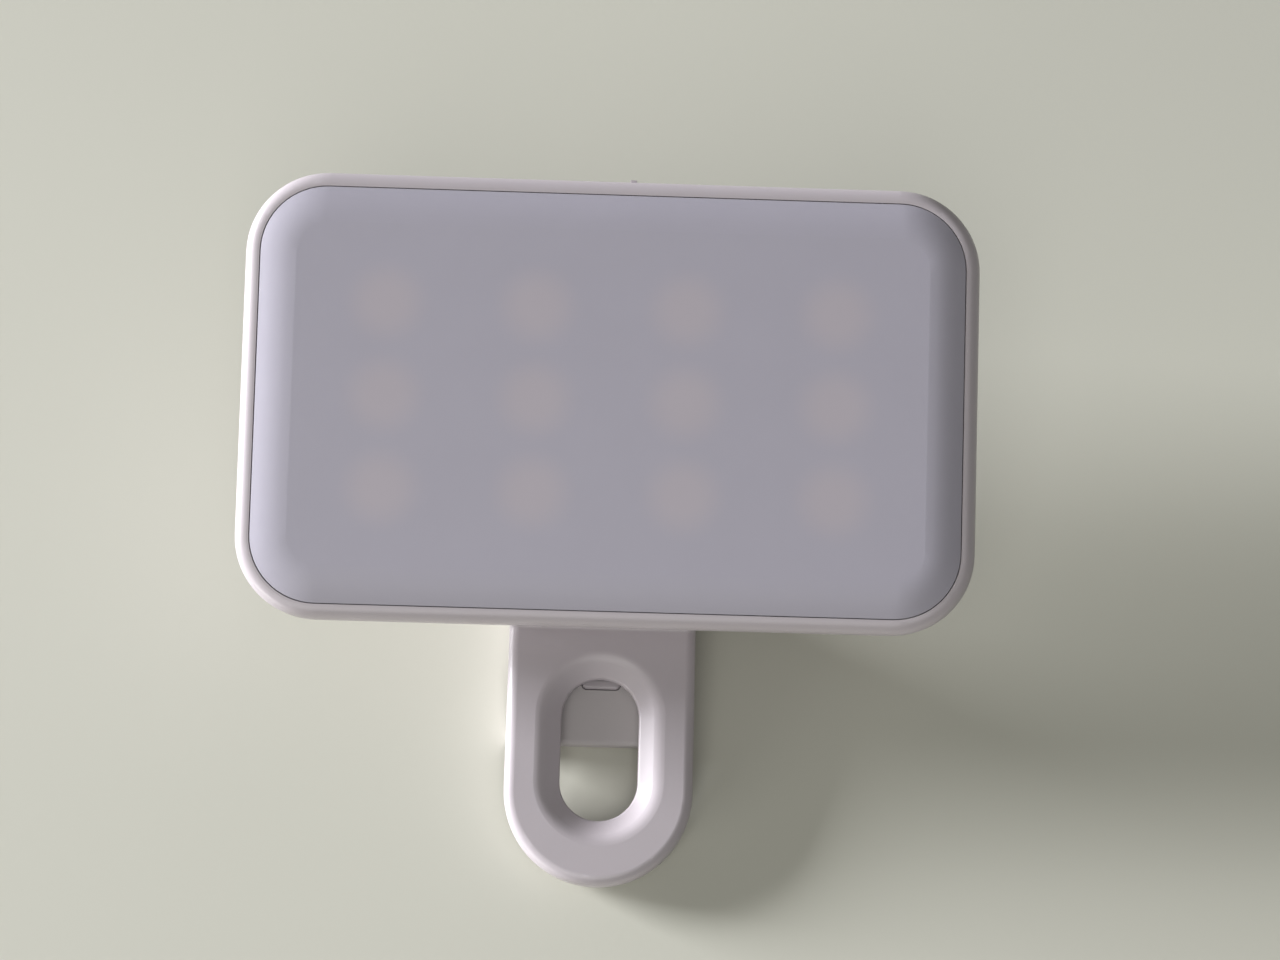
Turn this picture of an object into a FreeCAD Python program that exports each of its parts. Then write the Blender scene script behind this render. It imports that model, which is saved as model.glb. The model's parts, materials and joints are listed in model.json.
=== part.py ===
import FreeCAD, Part
import math
import os
import re
import Sketcher

# Clip-on selfie fill light: a flat rectangular light head on a sprung clip with a camera hole.
#
# Millimetres and degrees. The light lies on the back of its clip, as it comes to rest on a table.
# Row frame: +X right, +Y towards the head's top edge, +Z up; origin under the middle of the whole.
# Clip frame: on the hinge pin's axis, +Y away from the jaws' tips, +Z out of the front jaw.
# Plate frame: the clip frame turned by the lean, so that its Y runs along the head's back.
# Head frame: on the middle of the head's back, +Y to its top edge, +Z out of its window.

DIMENSIONS = {
    # Head shell
    "head_width": 101.0,
    "head_height": 61.4,
    "head_depth": 12.4,
    "head_corner": 11.3,
    "shell_wall": 1.6,
    "shell_floor": 1.6,
    "parting_level": 8.6,
    "back_draft": 4.0,
    "back_round": 2.4,
    "rim_width": 2.1,
    "rim_round": 1.7,
    "rim_draft": 1.5,
    "tongue_depth": 1.2,
    "fit_gap": 0.1,
    "gate_width": 0.9,
    "gate_height": 0.35,
    "gate_place": 2.4,
    # Window
    "window_gap": 0.12,
    "window_edge": 1.25,
    "window_wall": 1.4,
    "crown_rise": 0.9,
    "crown_reach": 5.0,
    "ledge_width": 1.4,
    # Light engine
    "board_level": 7.1,
    "board_thickness": 1.0,
    "board_margin": 4.6,
    "board_corner": 6.0,
    "post_inset": 4.0,
    "post_radius": 2.4,
    "led_inset_across": 15.15,
    "led_inset_along": 13.4,
    "led_length": 3.5,
    "led_width": 2.8,
    "led_height": 0.7,
    "led_dish": 1.1,
    "led_dish_depth": 0.15,
    # Cell
    "cell_thickness": 4.4,
    "cell_side": 11.5,
    "cell_foot": 7.7,
    "cell_top": 15.7,
    "cell_gap": 2.1,
    "cell_corner": 1.2,
    "cell_round": 1.0,
    "cell_cap_length": 3.0,
    "cell_cap_thickness": 2.4,
    "tape_thickness": 0.4,
    "tape_margin": 2.0,
    "lead_radius": 0.5,
    "lead_spacing": 2.4,
    "lead_bend": 2.5,
    "lead_overlap": 2.0,
    # Control board and what is on it
    "control_pitch": 9.5,
    "control_end_left": 16.0,
    "control_end_right": 7.0,
    "control_depth": 10.5,
    "control_level": 2.8,
    "control_thickness": 0.8,
    "control_post_inset": 4.0,
    "control_post_radius": 1.6,
    "port_width": 8.94,
    "port_height": 3.2,
    "port_length": 7.3,
    "port_skin": 0.3,
    "port_corner": 1.4,
    "port_recess": 0.5,
    "port_tongue_width": 6.7,
    "port_tongue_thickness": 0.7,
    "port_tongue_length": 4.4,
    "switch_width": 4.2,
    "switch_depth": 3.2,
    "switch_plunger_radius": 0.7,
    "switch_plunger_length": 0.7,
    "button_side": 19.5,
    "button_length": 9.0,
    "button_width": 3.6,
    "button_stand": 0.5,
    "button_round": 0.3,
    "button_gap": 0.15,
    "button_travel": 0.4,
    "button_flange": 0.7,
    "button_flange_reach": 0.8,
    "indicator_radius": 0.8,
    "indicator_rod": 3.2,
    "indicator_led_size": 1.6,
    "indicator_led_height": 3.0,
    "header_inset": 6.0,
    "header_width": 5.1,
    "header_depth": 2.5,
    "header_height": 2.5,
    "header_pin": 0.64,
    # Clip
    "clip_width": 26.3,
    "clip_lean": 9.0,
    "closed_gap": 0.1,
    "pad_thickness": 1.0,
    "pad_inset": 0.7,
    "pad_round": 0.7,
    "front_reach": 41.5,
    "front_thickness": 3.4,
    "front_round": 1.4,
    "hole_width": 10.9,
    "hole_start": 12.45,
    "hole_end": 9.05,
    "funnel_reach": 2.8,
    "funnel_depth": 1.7,
    "funnel_round": 3.0,
    "hole_lip_round": 0.5,
    "pad_hole_margin": 1.2,
    "pad_band": 1.25,
    "rear_reach": 21.5,
    "rear_thickness": 2.6,
    "end_round": 1.2,
    "rear_pad_length": 12.0,
    "rib_width": 5.4,
    "rib_height": 1.4,
    "rib_stand": 0.6,
    "rib_round": 0.4,
    "rib_inset": 0.45,
    "rib_gap": 0.12,
    "lever_reach": 35.0,
    "lever_standoff": 3.2,
    "lever_corner": 6.0,
    "groove_width": 1.2,
    "groove_depth": 0.5,
    "groove_length": 17.0,
    "groove_pitch": 2.6,
    "groove_first": 20.0,
    # Plate that holds the clip to the head
    "head_standoff": 6.6,
    "hinge_rise": 5.0,
    "plate_thickness": 3.0,
    "plate_reach": 37.0,
    "plate_corner": 6.0,
    "plate_start": 3.5,
    "plate_screw_across": 15.0,
    "plate_screw_first": 11.0,
    "plate_screw_second": 27.0,
    "boss_height": 3.2,
    "boss_radius": 2.4,
    # Hinge
    "hinge_space": 3.4,
    "ear_radius": 2.9,
    "ear_thickness": 2.3,
    "ear_gap": 0.3,
    "pin_radius": 1.0,
    "pin_clearance": 0.06,
    "pin_recess": 0.5,
    "coil_radius": 2.0,
    "wire_radius": 0.4,
    "coil_gap": 0.1,
    "leg_reach": 13.0,
    # Small screws, shared by the plate and the LED board
    "screw_radius": 0.9,
    "screw_gap": 0.2,
    "screw_head_radius": 1.75,
    "screw_head_height": 1.3,
    "screw_length": 6.0,
    "board_screw_length": 4.5,
    "recess_gap": 0.25,
}
LED_COLUMNS = 4
LED_ROWS = 3
GROOVE_COUNT = 5
COIL_TURNS = 5
WIRE_SIDES = 10
EDGE_TOLERANCE = 0.02
BOX_SLACK = 0.1

# Formulas that several pieces share, each in the frame that its name gives
PORT_LEVEL = "(control_level + control_thickness + port_height / 2)"
WALL_SLOPE = f"((parting_level - {PORT_LEVEL}) * tan(back_draft))"
TOP_OUTSIDE = f"(head_height / 2 - {WALL_SLOPE})"
TOP_INSIDE = f"({TOP_OUTSIDE} - shell_wall)"
CONTROL_TOP = "(control_level + control_thickness)"
FLANGE_FACE = f"({TOP_INSIDE} - fit_gap - (button_width + button_flange_reach) / 2 * tan(back_draft))"
CONTROL_EDGE = f"({FLANGE_FACE} - button_flange - button_travel - fit_gap)"
WINDOW_WIDTH = "(head_width - 2 * rim_width)"
WINDOW_HEIGHT = "(head_height - 2 * rim_width)"
WINDOW_CORNER = "(head_corner - rim_width)"
LEDGE_LEVEL = "(head_depth - window_edge)"
CELL_LEVEL = "(shell_floor + tape_thickness)"
BOARD_WIDTH = "(head_width - 2 * board_margin)"
BOARD_HEIGHT = "(head_height - 2 * board_margin)"
POSTS_ACROSS = f"({BOARD_WIDTH} - 2 * post_inset)"
POSTS_ALONG = f"({BOARD_HEIGHT} - 2 * post_inset)"
LED_PITCH_ACROSS = f"(({BOARD_WIDTH} - 2 * led_inset_across) / {LED_COLUMNS - 1})"
LED_PITCH_ALONG = f"(({BOARD_HEIGHT} - 2 * led_inset_along) / {LED_ROWS - 1})"
CELL_WIDTH = "(head_width / 2 - cell_side - plate_screw_across / 2 - boss_radius - cell_gap)"
CELL_ACROSS = f"({CELL_WIDTH} / 2 + cell_side - head_width / 2)"
CELL_LENGTH = "(head_height - cell_foot - cell_top)"
CELL_ALONG = "((cell_foot - cell_top) / 2)"
BUTTON_PLACE = "(head_width / 2 - button_side)"
INDICATOR_PLACE = f"({BUTTON_PLACE} - control_pitch)"
PORT_PLACE = f"({INDICATOR_PLACE} - control_pitch)"
CONTROL_LEFT = f"({PORT_PLACE} - control_end_left)"
CONTROL_WIDTH = "(2 * control_pitch + control_end_left + control_end_right)"
HEADER_PLACE = f"({CONTROL_LEFT} + header_inset)"
HOLE_LENGTH = "(front_reach - hole_start - hole_end)"
HOLE_PLACE = "((front_reach + hole_start - hole_end) / 2)"
FRONT_PAD_TOP = "(hole_start - pad_hole_margin - pad_band)"
RIB_PLACE = "(hole_start + rib_inset)"
THROUGH_WALL = "(4 * shell_wall)"
FRONT_BACK = "(closed_gap / 2 + pad_thickness)"
FRONT_FACE = f"({FRONT_BACK} + front_thickness)"
PLATE_BACK = "(head_standoff - plate_thickness)"
REAR_OUTSIDE = f"({FRONT_BACK} + rear_thickness)"
REAR_EAR = "(clip_width / 2 - ear_thickness / 2)"
FRONT_EAR = "(clip_width / 2 - ear_thickness * 1.5 - ear_gap)"
SWITCH_FACE = f"({CONTROL_EDGE} - switch_plunger_length)"

X_AXIS = FreeCAD.Vector(1, 0, 0)
WORD = re.compile(r"\b[a-z_]+\b")
DOC = FreeCAD.newDocument("FillLight")
PARTS = []


# Sheet and formulas

def fill_sheet():
    """Writes the driving dimensions into the sheet, one named cell each."""
    sheet = DOC.addObject("Spreadsheet::Sheet", "Sizes")
    for row, (name, size) in enumerate(DIMENSIONS.items(), start=1):
        sheet.set(f"A{row}", name)
        sheet.set(f"B{row}", str(size))
        sheet.setAlias(f"B{row}", name)
    DOC.recompute()


def formula(text):
    """Spells the size names of a formula out as cells of the sheet."""
    return WORD.sub(lambda word: f"Sizes.{word[0]}" if word[0] in DIMENSIONS else word[0], text)


def value(text):
    """Works a formula out as a plain number."""
    result = DOC.Sizes.evalExpression(formula(text))
    return float(getattr(result, "Value", result))


def bind(item, formulas):
    """Ties properties of an object to their formulas."""
    for name, text in formulas.items():
        item.setExpression(name, formula(text))


def turned(along, out, angle):
    """Turns a point of a plate's frame back into the clip frame."""
    new_along = f"(({along}) * cos({angle}) - ({out}) * sin({angle}))"
    new_out = f"(({along}) * sin({angle}) + ({out}) * cos({angle}))"
    return new_along, new_out


# Posture of the light at rest

def set_posture():
    """Works out how the light lies: on the rounded ends of the rear jaw and of its lever."""
    jaw_end = ("(end_round - rear_reach)", f"(end_round - {REAR_OUTSIDE})")
    lever_end = turned("lever_reach - end_round", "end_round - lever_standoff - rear_thickness", "-clip_lean")
    posture = DOC.addObject("App::VarSet", "Posture")
    posture.addProperty("App::PropertyAngle", "ClipTilt", "Posture")
    posture.addProperty("App::PropertyAngle", "HeadTilt", "Posture")
    posture.addProperty("App::PropertyDistance", "PinHeight", "Posture")
    posture.addProperty("App::PropertyDistance", "PinPlace", "Posture")
    bind(posture, {
        "ClipTilt": f"atan2({jaw_end[1]} - {lever_end[1]}; {lever_end[0]} - {jaw_end[0]})",
        "HeadTilt": "Posture.ClipTilt + clip_lean * 1deg",
        "PinHeight": f"(end_round - {turned(*jaw_end, 'Posture.ClipTilt')[1]}) * 1mm",
    })
    tip = turned("front_round - front_reach", f"{FRONT_FACE} - front_round", "Posture.ClipTilt")[0]
    wall = "head_height - hinge_rise - parting_level * tan(back_draft)"
    cover = turned(f"{wall} + back_round * (tan(back_draft) - 1 / cos(back_draft))",
                   "head_standoff + back_round", "Posture.HeadTilt")[0]
    button = turned(f"head_height / 2 - hinge_rise + {TOP_OUTSIDE} + button_stand - button_round",
                    f"head_standoff + {PORT_LEVEL} - button_width / 2 + button_round", "Posture.HeadTilt")[0]
    crest = f"max({cover} + back_round; {button} + button_round)"
    bind(posture, {"PinPlace": f"-({crest} + {tip} - front_round) / 2 * 1mm"})
    DOC.recompute()


def finish_part(item, name, frame):
    """Labels a finished sub-part and lays it in the row frame with its clip or head frame."""
    item.Label = name
    tilt = "Posture.HeadTilt" if frame == "head" else "Posture.ClipTilt"
    along, out = "0", "0"
    if frame == "head":
        along, out = turned("head_height / 2 - hinge_rise", "head_standoff", tilt)
    item.Placement = FreeCAD.Placement(FreeCAD.Vector(), FreeCAD.Rotation(X_AXIS, value(tilt)))
    bind(item, {
        "Placement.Base.y": f"Posture.PinPlace + ({along}) * 1mm",
        "Placement.Base.z": f"Posture.PinHeight + ({out}) * 1mm",
        "Placement.Rotation.Angle": tilt,
    })
    PARTS.append(item)


# Bodies, sketches and features

def new_body(name):
    """Starts a body; its node name comes as its label when it is finished."""
    return DOC.addObject("PartDesign::Body", name.title().replace("_", ""))


def origin_part(body, role):
    """Finds a plane or axis of a body's own origin."""
    return next(part for part in body.Origin.OriginFeatures if part.Role == role)


def new_sketch(body, name, plane, lift="0", lean=None):
    """Makes a sketch on an origin plane, lifted along its normal and leaned about its X axis."""
    sketch = body.newObject("Sketcher::SketchObject", name)
    sketch.AttachmentSupport = [(origin_part(body, plane), "")]
    sketch.MapMode = "FlatFace"
    if lean is None:
        bind(sketch, {"AttachmentOffset.Base.z": lift})
        return sketch
    sketch.AttachmentOffset = FreeCAD.Placement(FreeCAD.Vector(), FreeCAD.Rotation(X_AXIS, value(lean)))
    along, out = turned("0", lift, lean)
    bind(sketch, {
        "AttachmentOffset.Base.y": along,
        "AttachmentOffset.Base.z": out,
        "AttachmentOffset.Rotation.Angle": lean,
    })
    return sketch


def tie(sketch, kind, text, *where):
    """Adds a dimension to a sketch and ties it to its formula."""
    number = sketch.addConstraint(Sketcher.Constraint(kind, *where, value(text)))
    sketch.setExpression(f"Constraints[{number}]", formula(text))


def tie_point(sketch, item, point, across, up):
    """Holds a point of a sketch at two formulas from the sketch's origin."""
    for kind, axis, text in (("DistanceX", -2, across), ("DistanceY", -1, up)):
        if text == "0":
            sketch.addConstraint(Sketcher.Constraint("PointOnObject", item, point, axis))
        else:
            tie(sketch, kind, text, -1, 1, item, point)


def draw_line(sketch, start, end):
    """Draws a line between two points given as numbers and returns its index."""
    return sketch.addGeometry(Part.LineSegment(FreeCAD.Vector(*start, 0), FreeCAD.Vector(*end, 0)), False)


def draw_arc(sketch, centre, radius, start, end):
    """Draws an arc between two angles in degrees and returns its index."""
    circle = Part.Circle(FreeCAD.Vector(*centre, 0), FreeCAD.Vector(0, 0, 1), radius)
    arc = Part.ArcOfCircle(circle, math.radians(start), math.radians(end))
    return sketch.addGeometry(arc, False)


def polygon(sketch, corners):
    """Draws a closed outline whose corners are pairs of formulas."""
    places = [(value(across), value(up)) for across, up in corners]
    lines = [draw_line(sketch, place, places[(i + 1) % len(places)]) for i, place in enumerate(places)]
    for i, line in enumerate(lines):
        sketch.addConstraint(Sketcher.Constraint("Coincident", line, 2, lines[(i + 1) % len(lines)], 1))
        tie_point(sketch, line, 1, *corners[i])


def rectangle(sketch, width, height, across="0", up="0"):
    """Draws a rectangle about a centre."""
    left, right = f"{across} - ({width}) / 2", f"{across} + ({width}) / 2"
    low, high = f"{up} - ({height}) / 2", f"{up} + ({height}) / 2"
    polygon(sketch, [(left, low), (right, low), (right, high), (left, high)])


def circle(sketch, radius, across="0", up="0"):
    """Draws a circle."""
    centre = FreeCAD.Vector(value(across), value(up), 0)
    item = sketch.addGeometry(Part.Circle(centre, FreeCAD.Vector(0, 0, 1), value(radius)), False)
    tie(sketch, "Radius", radius, item)
    tie_point(sketch, item, 3, across, up)


def round_rectangle(sketch, width, height, corner, across="0", up="0"):
    """Draws a rectangle with round corners: four tied arcs joined by tangent lines."""
    arcs = []
    for start, side, level in ((0, "+", "+"), (90, "-", "+"), (180, "-", "-"), (270, "+", "-")):
        centre = (f"{across} {side} (({width}) / 2 - ({corner}))", f"{up} {level} (({height}) / 2 - ({corner}))")
        place = [value(text) for text in centre]
        arcs.append(draw_arc(sketch, place, value(corner), start, start + 90))
        tie(sketch, "Radius", corner, arcs[-1])
        tie_point(sketch, arcs[-1], 3, *centre)
    join_arcs(sketch, arcs)


def join_arcs(sketch, arcs):
    """Joins arcs in a ring with lines that leave and meet them tangentially."""
    for arc, following in zip(arcs, arcs[1:] + arcs[:1]):
        start = sketch.getPoint(arc, 2)
        end = sketch.getPoint(following, 1)
        line = draw_line(sketch, (start.x, start.y), (end.x, end.y))
        sketch.addConstraint(Sketcher.Constraint("Tangent", arc, 2, line, 1))
        sketch.addConstraint(Sketcher.Constraint("Tangent", line, 2, following, 1))


def stadium(sketch, length, width, across="0", up="0", upright=False):
    """Draws a slot outline with half-round ends, lying along X or standing along Y."""
    half = f"(({length}) - ({width})) / 2"
    arcs = []
    for side, start in (("+", -90), ("-", 90)):
        centre = (f"{across} {side} {half}", up)
        if upright:
            centre = (across, f"{up} {side} {half}")
            start += 90
        place = [value(text) for text in centre]
        arcs.append(draw_arc(sketch, place, value(width) / 2, start, start + 180))
        tie(sketch, "Radius", f"({width}) / 2", arcs[-1])
        tie_point(sketch, arcs[-1], 3, *centre)
    join_arcs(sketch, arcs)


def ear_outline(sketch, end):
    """Draws a hinge ear: a half circle about the pin whose sides run straight to a level."""
    radius, level = value("ear_radius"), value(end)
    start = 180 if level > 0 else 0
    arc = draw_arc(sketch, (0, 0), radius, start, start + 180)
    sketch.addConstraint(Sketcher.Constraint("Coincident", arc, 3, -1, 1))
    tie(sketch, "Radius", "ear_radius", arc)
    side = radius if level > 0 else -radius
    first = draw_line(sketch, (side, 0), (side, level))
    top = draw_line(sketch, (side, level), (-side, level))
    last = draw_line(sketch, (-side, level), (-side, 0))
    sketch.addConstraint(Sketcher.Constraint("Tangent", arc, 2, first, 1))
    sketch.addConstraint(Sketcher.Constraint("Coincident", first, 2, top, 1))
    sketch.addConstraint(Sketcher.Constraint("Coincident", top, 2, last, 1))
    sketch.addConstraint(Sketcher.Constraint("Tangent", last, 2, arc, 1))
    sketch.addConstraint(Sketcher.Constraint("Vertical", first))
    sketch.addConstraint(Sketcher.Constraint("Horizontal", top))
    tie(sketch, "DistanceY", end, -1, 1, first, 2)


def pad(body, name, sketch, length, symmetric=False, backwards=False, draft=None):
    """Adds an extrusion of a sketch to a body."""
    feature = body.newObject("PartDesign::Pad", name)
    return set_extrusion(feature, sketch, length, symmetric, backwards, draft)


def pocket(body, name, sketch, length=None, symmetric=False, backwards=False, draft=None):
    """Cuts an extrusion of a sketch from a body, right through it where no length is given."""
    feature = body.newObject("PartDesign::Pocket", name)
    return set_extrusion(feature, sketch, length, symmetric, backwards, draft)


def set_extrusion(feature, sketch, length, symmetric, backwards, draft):
    """Gives a pad or pocket its profile, length, direction and draft."""
    feature.Profile = sketch
    feature.Reversed = backwards
    if symmetric:
        feature.SideType = "Symmetric"
    if length is None:
        feature.Type = "ThroughAll"
    else:
        bind(feature, {"Length": length})
    if draft is not None:
        bind(feature, {"TaperAngle": draft})
    DOC.recompute()
    return feature


def edges_of(feature, test):
    """Names the edges of a feature that pass a test of their lowest and highest corners."""
    names = []
    for number, edge in enumerate(feature.Shape.Edges, start=1):
        box = edge.BoundBox
        low = FreeCAD.Vector(box.XMin, box.YMin, box.ZMin)
        high = FreeCAD.Vector(box.XMax, box.YMax, box.ZMax)
        if test(low, high):
            names.append(f"Edge{number}")
    return names


def near(size, target):
    """Says whether two sizes are the same for the choice of an edge."""
    return abs(size - target) < EDGE_TOLERANCE


def fillet(body, name, base, radius, test):
    """Rounds the edges of a feature that pass a test."""
    feature = body.newObject("PartDesign::Fillet", name)
    feature.Base = (base, edges_of(base, test))
    bind(feature, {"Radius": radius})
    DOC.recompute()
    return feature


def mirror(body, name, features):
    """Repeats features on the other side of the middle plane."""
    feature = body.newObject("PartDesign::Mirrored", name)
    feature.Originals = features
    feature.MirrorPlane = (origin_part(body, "YZ_Plane"), [""])
    body.Tip = feature
    DOC.recompute()
    return feature


def primitive(kind, name, formulas):
    """Makes a Part primitive whose sizes and place are formulas."""
    item = DOC.addObject(kind, name)
    bind(item, formulas)
    return item


def box(name, width, depth, height, across, along, level):
    """Makes a box about a centre line, standing on a level."""
    return primitive("Part::Box", name, {
        "Length": width, "Width": depth, "Height": height,
        "Placement.Base.x": f"{across} - ({width}) / 2",
        "Placement.Base.y": f"{along} - ({depth}) / 2",
        "Placement.Base.z": level,
    })


def cylinder(name, radius, height, across, along, level):
    """Makes an upright cylinder that stands on a level."""
    return primitive("Part::Cylinder", name, {
        "Radius": radius, "Height": height,
        "Placement.Base.x": across, "Placement.Base.y": along, "Placement.Base.z": level,
    })


def cut(name, base, tool):
    """Cuts one Part shape from another."""
    item = DOC.addObject("Part::Cut", name)
    item.Base = base
    item.Tool = tool
    return item


def fuse(name, shapes):
    """Joins Part shapes into one solid."""
    item = DOC.addObject("Part::MultiFuse", name)
    item.Shapes = shapes
    return item


def group(name, shapes):
    """Keeps like solids together in one node."""
    item = DOC.addObject("Part::Compound", name)
    item.Links = shapes
    return item


def corners(across, along, centre="0"):
    """Lists the four corners of a rectangle of places, centred across."""
    return [(f"{x} * ({across}) / 2", f"{centre} + {y} * ({along}) / 2") for x in (-1, 1) for y in (-1, 1)]


# Head shell

def build_rear_cover():
    """The back shell: a drafted tray with posts for the boards and bosses for the clip's screws."""
    body = new_body("rear_cover")
    outline = new_sketch(body, "ShellOutline", "XY_Plane", "parting_level")
    round_rectangle(outline, "head_width", "head_height", "head_corner")
    shell = pad(body, "Shell", outline, "parting_level", backwards=True, draft="-back_draft")
    fillet(body, "BackRound", shell, "back_round", lambda low, high: near(high.z, 0))
    hollow = new_sketch(body, "HollowOutline", "XY_Plane", "parting_level")
    wall = "2 * shell_wall"
    round_rectangle(hollow, f"head_width - {wall}", f"head_height - {wall}", "head_corner - shell_wall")
    pocket(body, "Hollow", hollow, "parting_level - shell_floor", draft="-back_draft")
    add_posts(body)
    add_bosses(body)
    cut_top_wall(body)
    finish_part(body, "rear_cover", "head")


def add_posts(body):
    """Posts that carry the LED board and the control board, drilled for their screws."""
    posts = new_sketch(body, "BoardPosts", "XY_Plane", "shell_floor")
    for across, along in corners(POSTS_ACROSS, POSTS_ALONG):
        circle(posts, "post_radius", across, along)
    pad(body, "Posts", posts, "board_level - shell_floor")
    holes = new_sketch(body, "PostHoles", "XY_Plane", "board_level")
    for across, along in corners(POSTS_ACROSS, POSTS_ALONG):
        circle(holes, "screw_radius", across, along)
    pocket(body, "PostDrilling", holes, "board_screw_length - board_thickness")
    rests = new_sketch(body, "ControlRests", "XY_Plane", "shell_floor")
    for side in (f"{CONTROL_LEFT} + control_post_inset", f"{CONTROL_LEFT} + {CONTROL_WIDTH} - control_post_inset"):
        circle(rests, "control_post_radius", side, f"{CONTROL_EDGE} - control_depth / 2")
    pad(body, "Rests", rests, "control_level - shell_floor")


def add_bosses(body):
    """Bosses inside the floor, drilled from the back for the clip plate's screws."""
    bosses = new_sketch(body, "PlateBosses", "XY_Plane", "shell_floor")
    drills = new_sketch(body, "PlateDrills", "XY_Plane")
    for across, along in plate_screw_places():
        circle(bosses, "boss_radius", across, along)
        circle(drills, "screw_radius", across, along)
    pad(body, "Bosses", bosses, "boss_height")
    pocket(body, "PlateDrilling", drills, "screw_length - plate_thickness + screw_head_height + recess_gap",
           backwards=True)


def plate_screw_places():
    """Places of the clip plate's screws in the head frame."""
    rise = "hinge_rise - head_height / 2"
    return [(f"{side} * plate_screw_across / 2", f"{rise} + {row}")
            for side in (-1, 1) for row in ("plate_screw_first", "plate_screw_second")]


def cut_top_wall(body):
    """Openings in the top wall for the charging port, the button and the indicator."""
    port = new_sketch(body, "PortOpening", "XZ_Plane", f"-({TOP_INSIDE} - shell_wall)")
    round_rectangle(port, "port_width + 2 * fit_gap", "port_height + 2 * fit_gap", "port_corner + fit_gap",
                    PORT_PLACE, PORT_LEVEL)
    pocket(body, "PortCut", port, THROUGH_WALL)
    button = new_sketch(body, "ButtonOpening", "XZ_Plane", f"-({TOP_INSIDE} - shell_wall)")
    stadium(button, "button_length + 2 * button_gap", "button_width + 2 * button_gap", BUTTON_PLACE, PORT_LEVEL)
    pocket(body, "ButtonCut", button, THROUGH_WALL)
    lamp = new_sketch(body, "IndicatorOpening", "XZ_Plane", f"-({TOP_INSIDE} - shell_wall)")
    circle(lamp, "indicator_radius", INDICATOR_PLACE, PORT_LEVEL)
    pocket(body, "IndicatorCut", lamp, THROUGH_WALL)


def build_front_bezel():
    """The white rim: a rounded ring with a ledge for the window and a tongue into the back shell."""
    body = new_body("front_bezel")
    outline = new_sketch(body, "RimOutline", "XY_Plane", "parting_level")
    round_rectangle(outline, "head_width", "head_height", "head_corner")
    rim = pad(body, "Rim", outline, "head_depth - parting_level", draft="-rim_draft")
    fillet(body, "RimRound", rim, "rim_round", lambda low, high: near(low.z, value("head_depth")))
    tongue = new_sketch(body, "TongueOutline", "XY_Plane", "parting_level")
    inset = "(shell_wall + tongue_depth * tan(back_draft) + fit_gap)"
    round_rectangle(tongue, f"head_width - 2 * {inset}", f"head_height - 2 * {inset}", f"head_corner - {inset}")
    pad(body, "Tongue", tongue, "tongue_depth", backwards=True)
    opening = new_sketch(body, "OpeningOutline", "XY_Plane", "head_depth")
    round_rectangle(opening, f"{WINDOW_WIDTH} - 2 * ledge_width", f"{WINDOW_HEIGHT} - 2 * ledge_width",
                    f"{WINDOW_CORNER} - ledge_width")
    pocket(body, "Opening", opening)
    seat = new_sketch(body, "SeatOutline", "XY_Plane", "head_depth")
    round_rectangle(seat, WINDOW_WIDTH, WINDOW_HEIGHT, WINDOW_CORNER)
    pocket(body, "Seat", seat, "window_edge")
    gate = new_sketch(body, "GateMark", "XY_Plane", "parting_level + (head_depth - parting_level) / 2")
    wall = "head_height / 2 - (head_depth - parting_level) * tan(rim_draft)"
    rectangle(gate, "gate_width", "2 * gate_height", "gate_place", wall)
    pad(body, "Gate", gate, "gate_width", symmetric=True)
    finish_part(body, "front_bezel", "head")


def build_diffuser():
    """The opal window: a shallow tray whose face is crowned towards its edges."""
    body = new_body("diffuser")
    width, height = f"({WINDOW_WIDTH} - 2 * window_gap)", f"({WINDOW_HEIGHT} - 2 * window_gap)"
    corner = f"({WINDOW_CORNER} - window_gap)"
    outline = new_sketch(body, "WindowOutline", "XY_Plane", LEDGE_LEVEL)
    round_rectangle(outline, width, height, corner)
    pad(body, "Window", outline, "window_edge + crown_rise")
    hollow = new_sketch(body, "HollowOutline", "XY_Plane", LEDGE_LEVEL)
    round_rectangle(hollow, f"{WINDOW_WIDTH} - 2 * ledge_width", f"{WINDOW_HEIGHT} - 2 * ledge_width",
                    f"{WINDOW_CORNER} - ledge_width")
    pocket(body, "Hollow", hollow, "window_edge + crown_rise - window_wall", backwards=True)
    spine = new_sketch(body, "CrownSpine", "XY_Plane", LEDGE_LEVEL)
    round_rectangle(spine, width, height, corner)
    section = new_sketch(body, "CrownSection", "XZ_Plane")
    crown_section(section, f"{width} / 2")
    crown = body.newObject("PartDesign::SubtractivePipe", "Crown")
    crown.Profile = section
    crown.Spine = (spine, [f"Edge{number + 1}" for number in range(spine.GeometryCount)])
    DOC.recompute()
    finish_part(body, "diffuser", "head")


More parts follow.
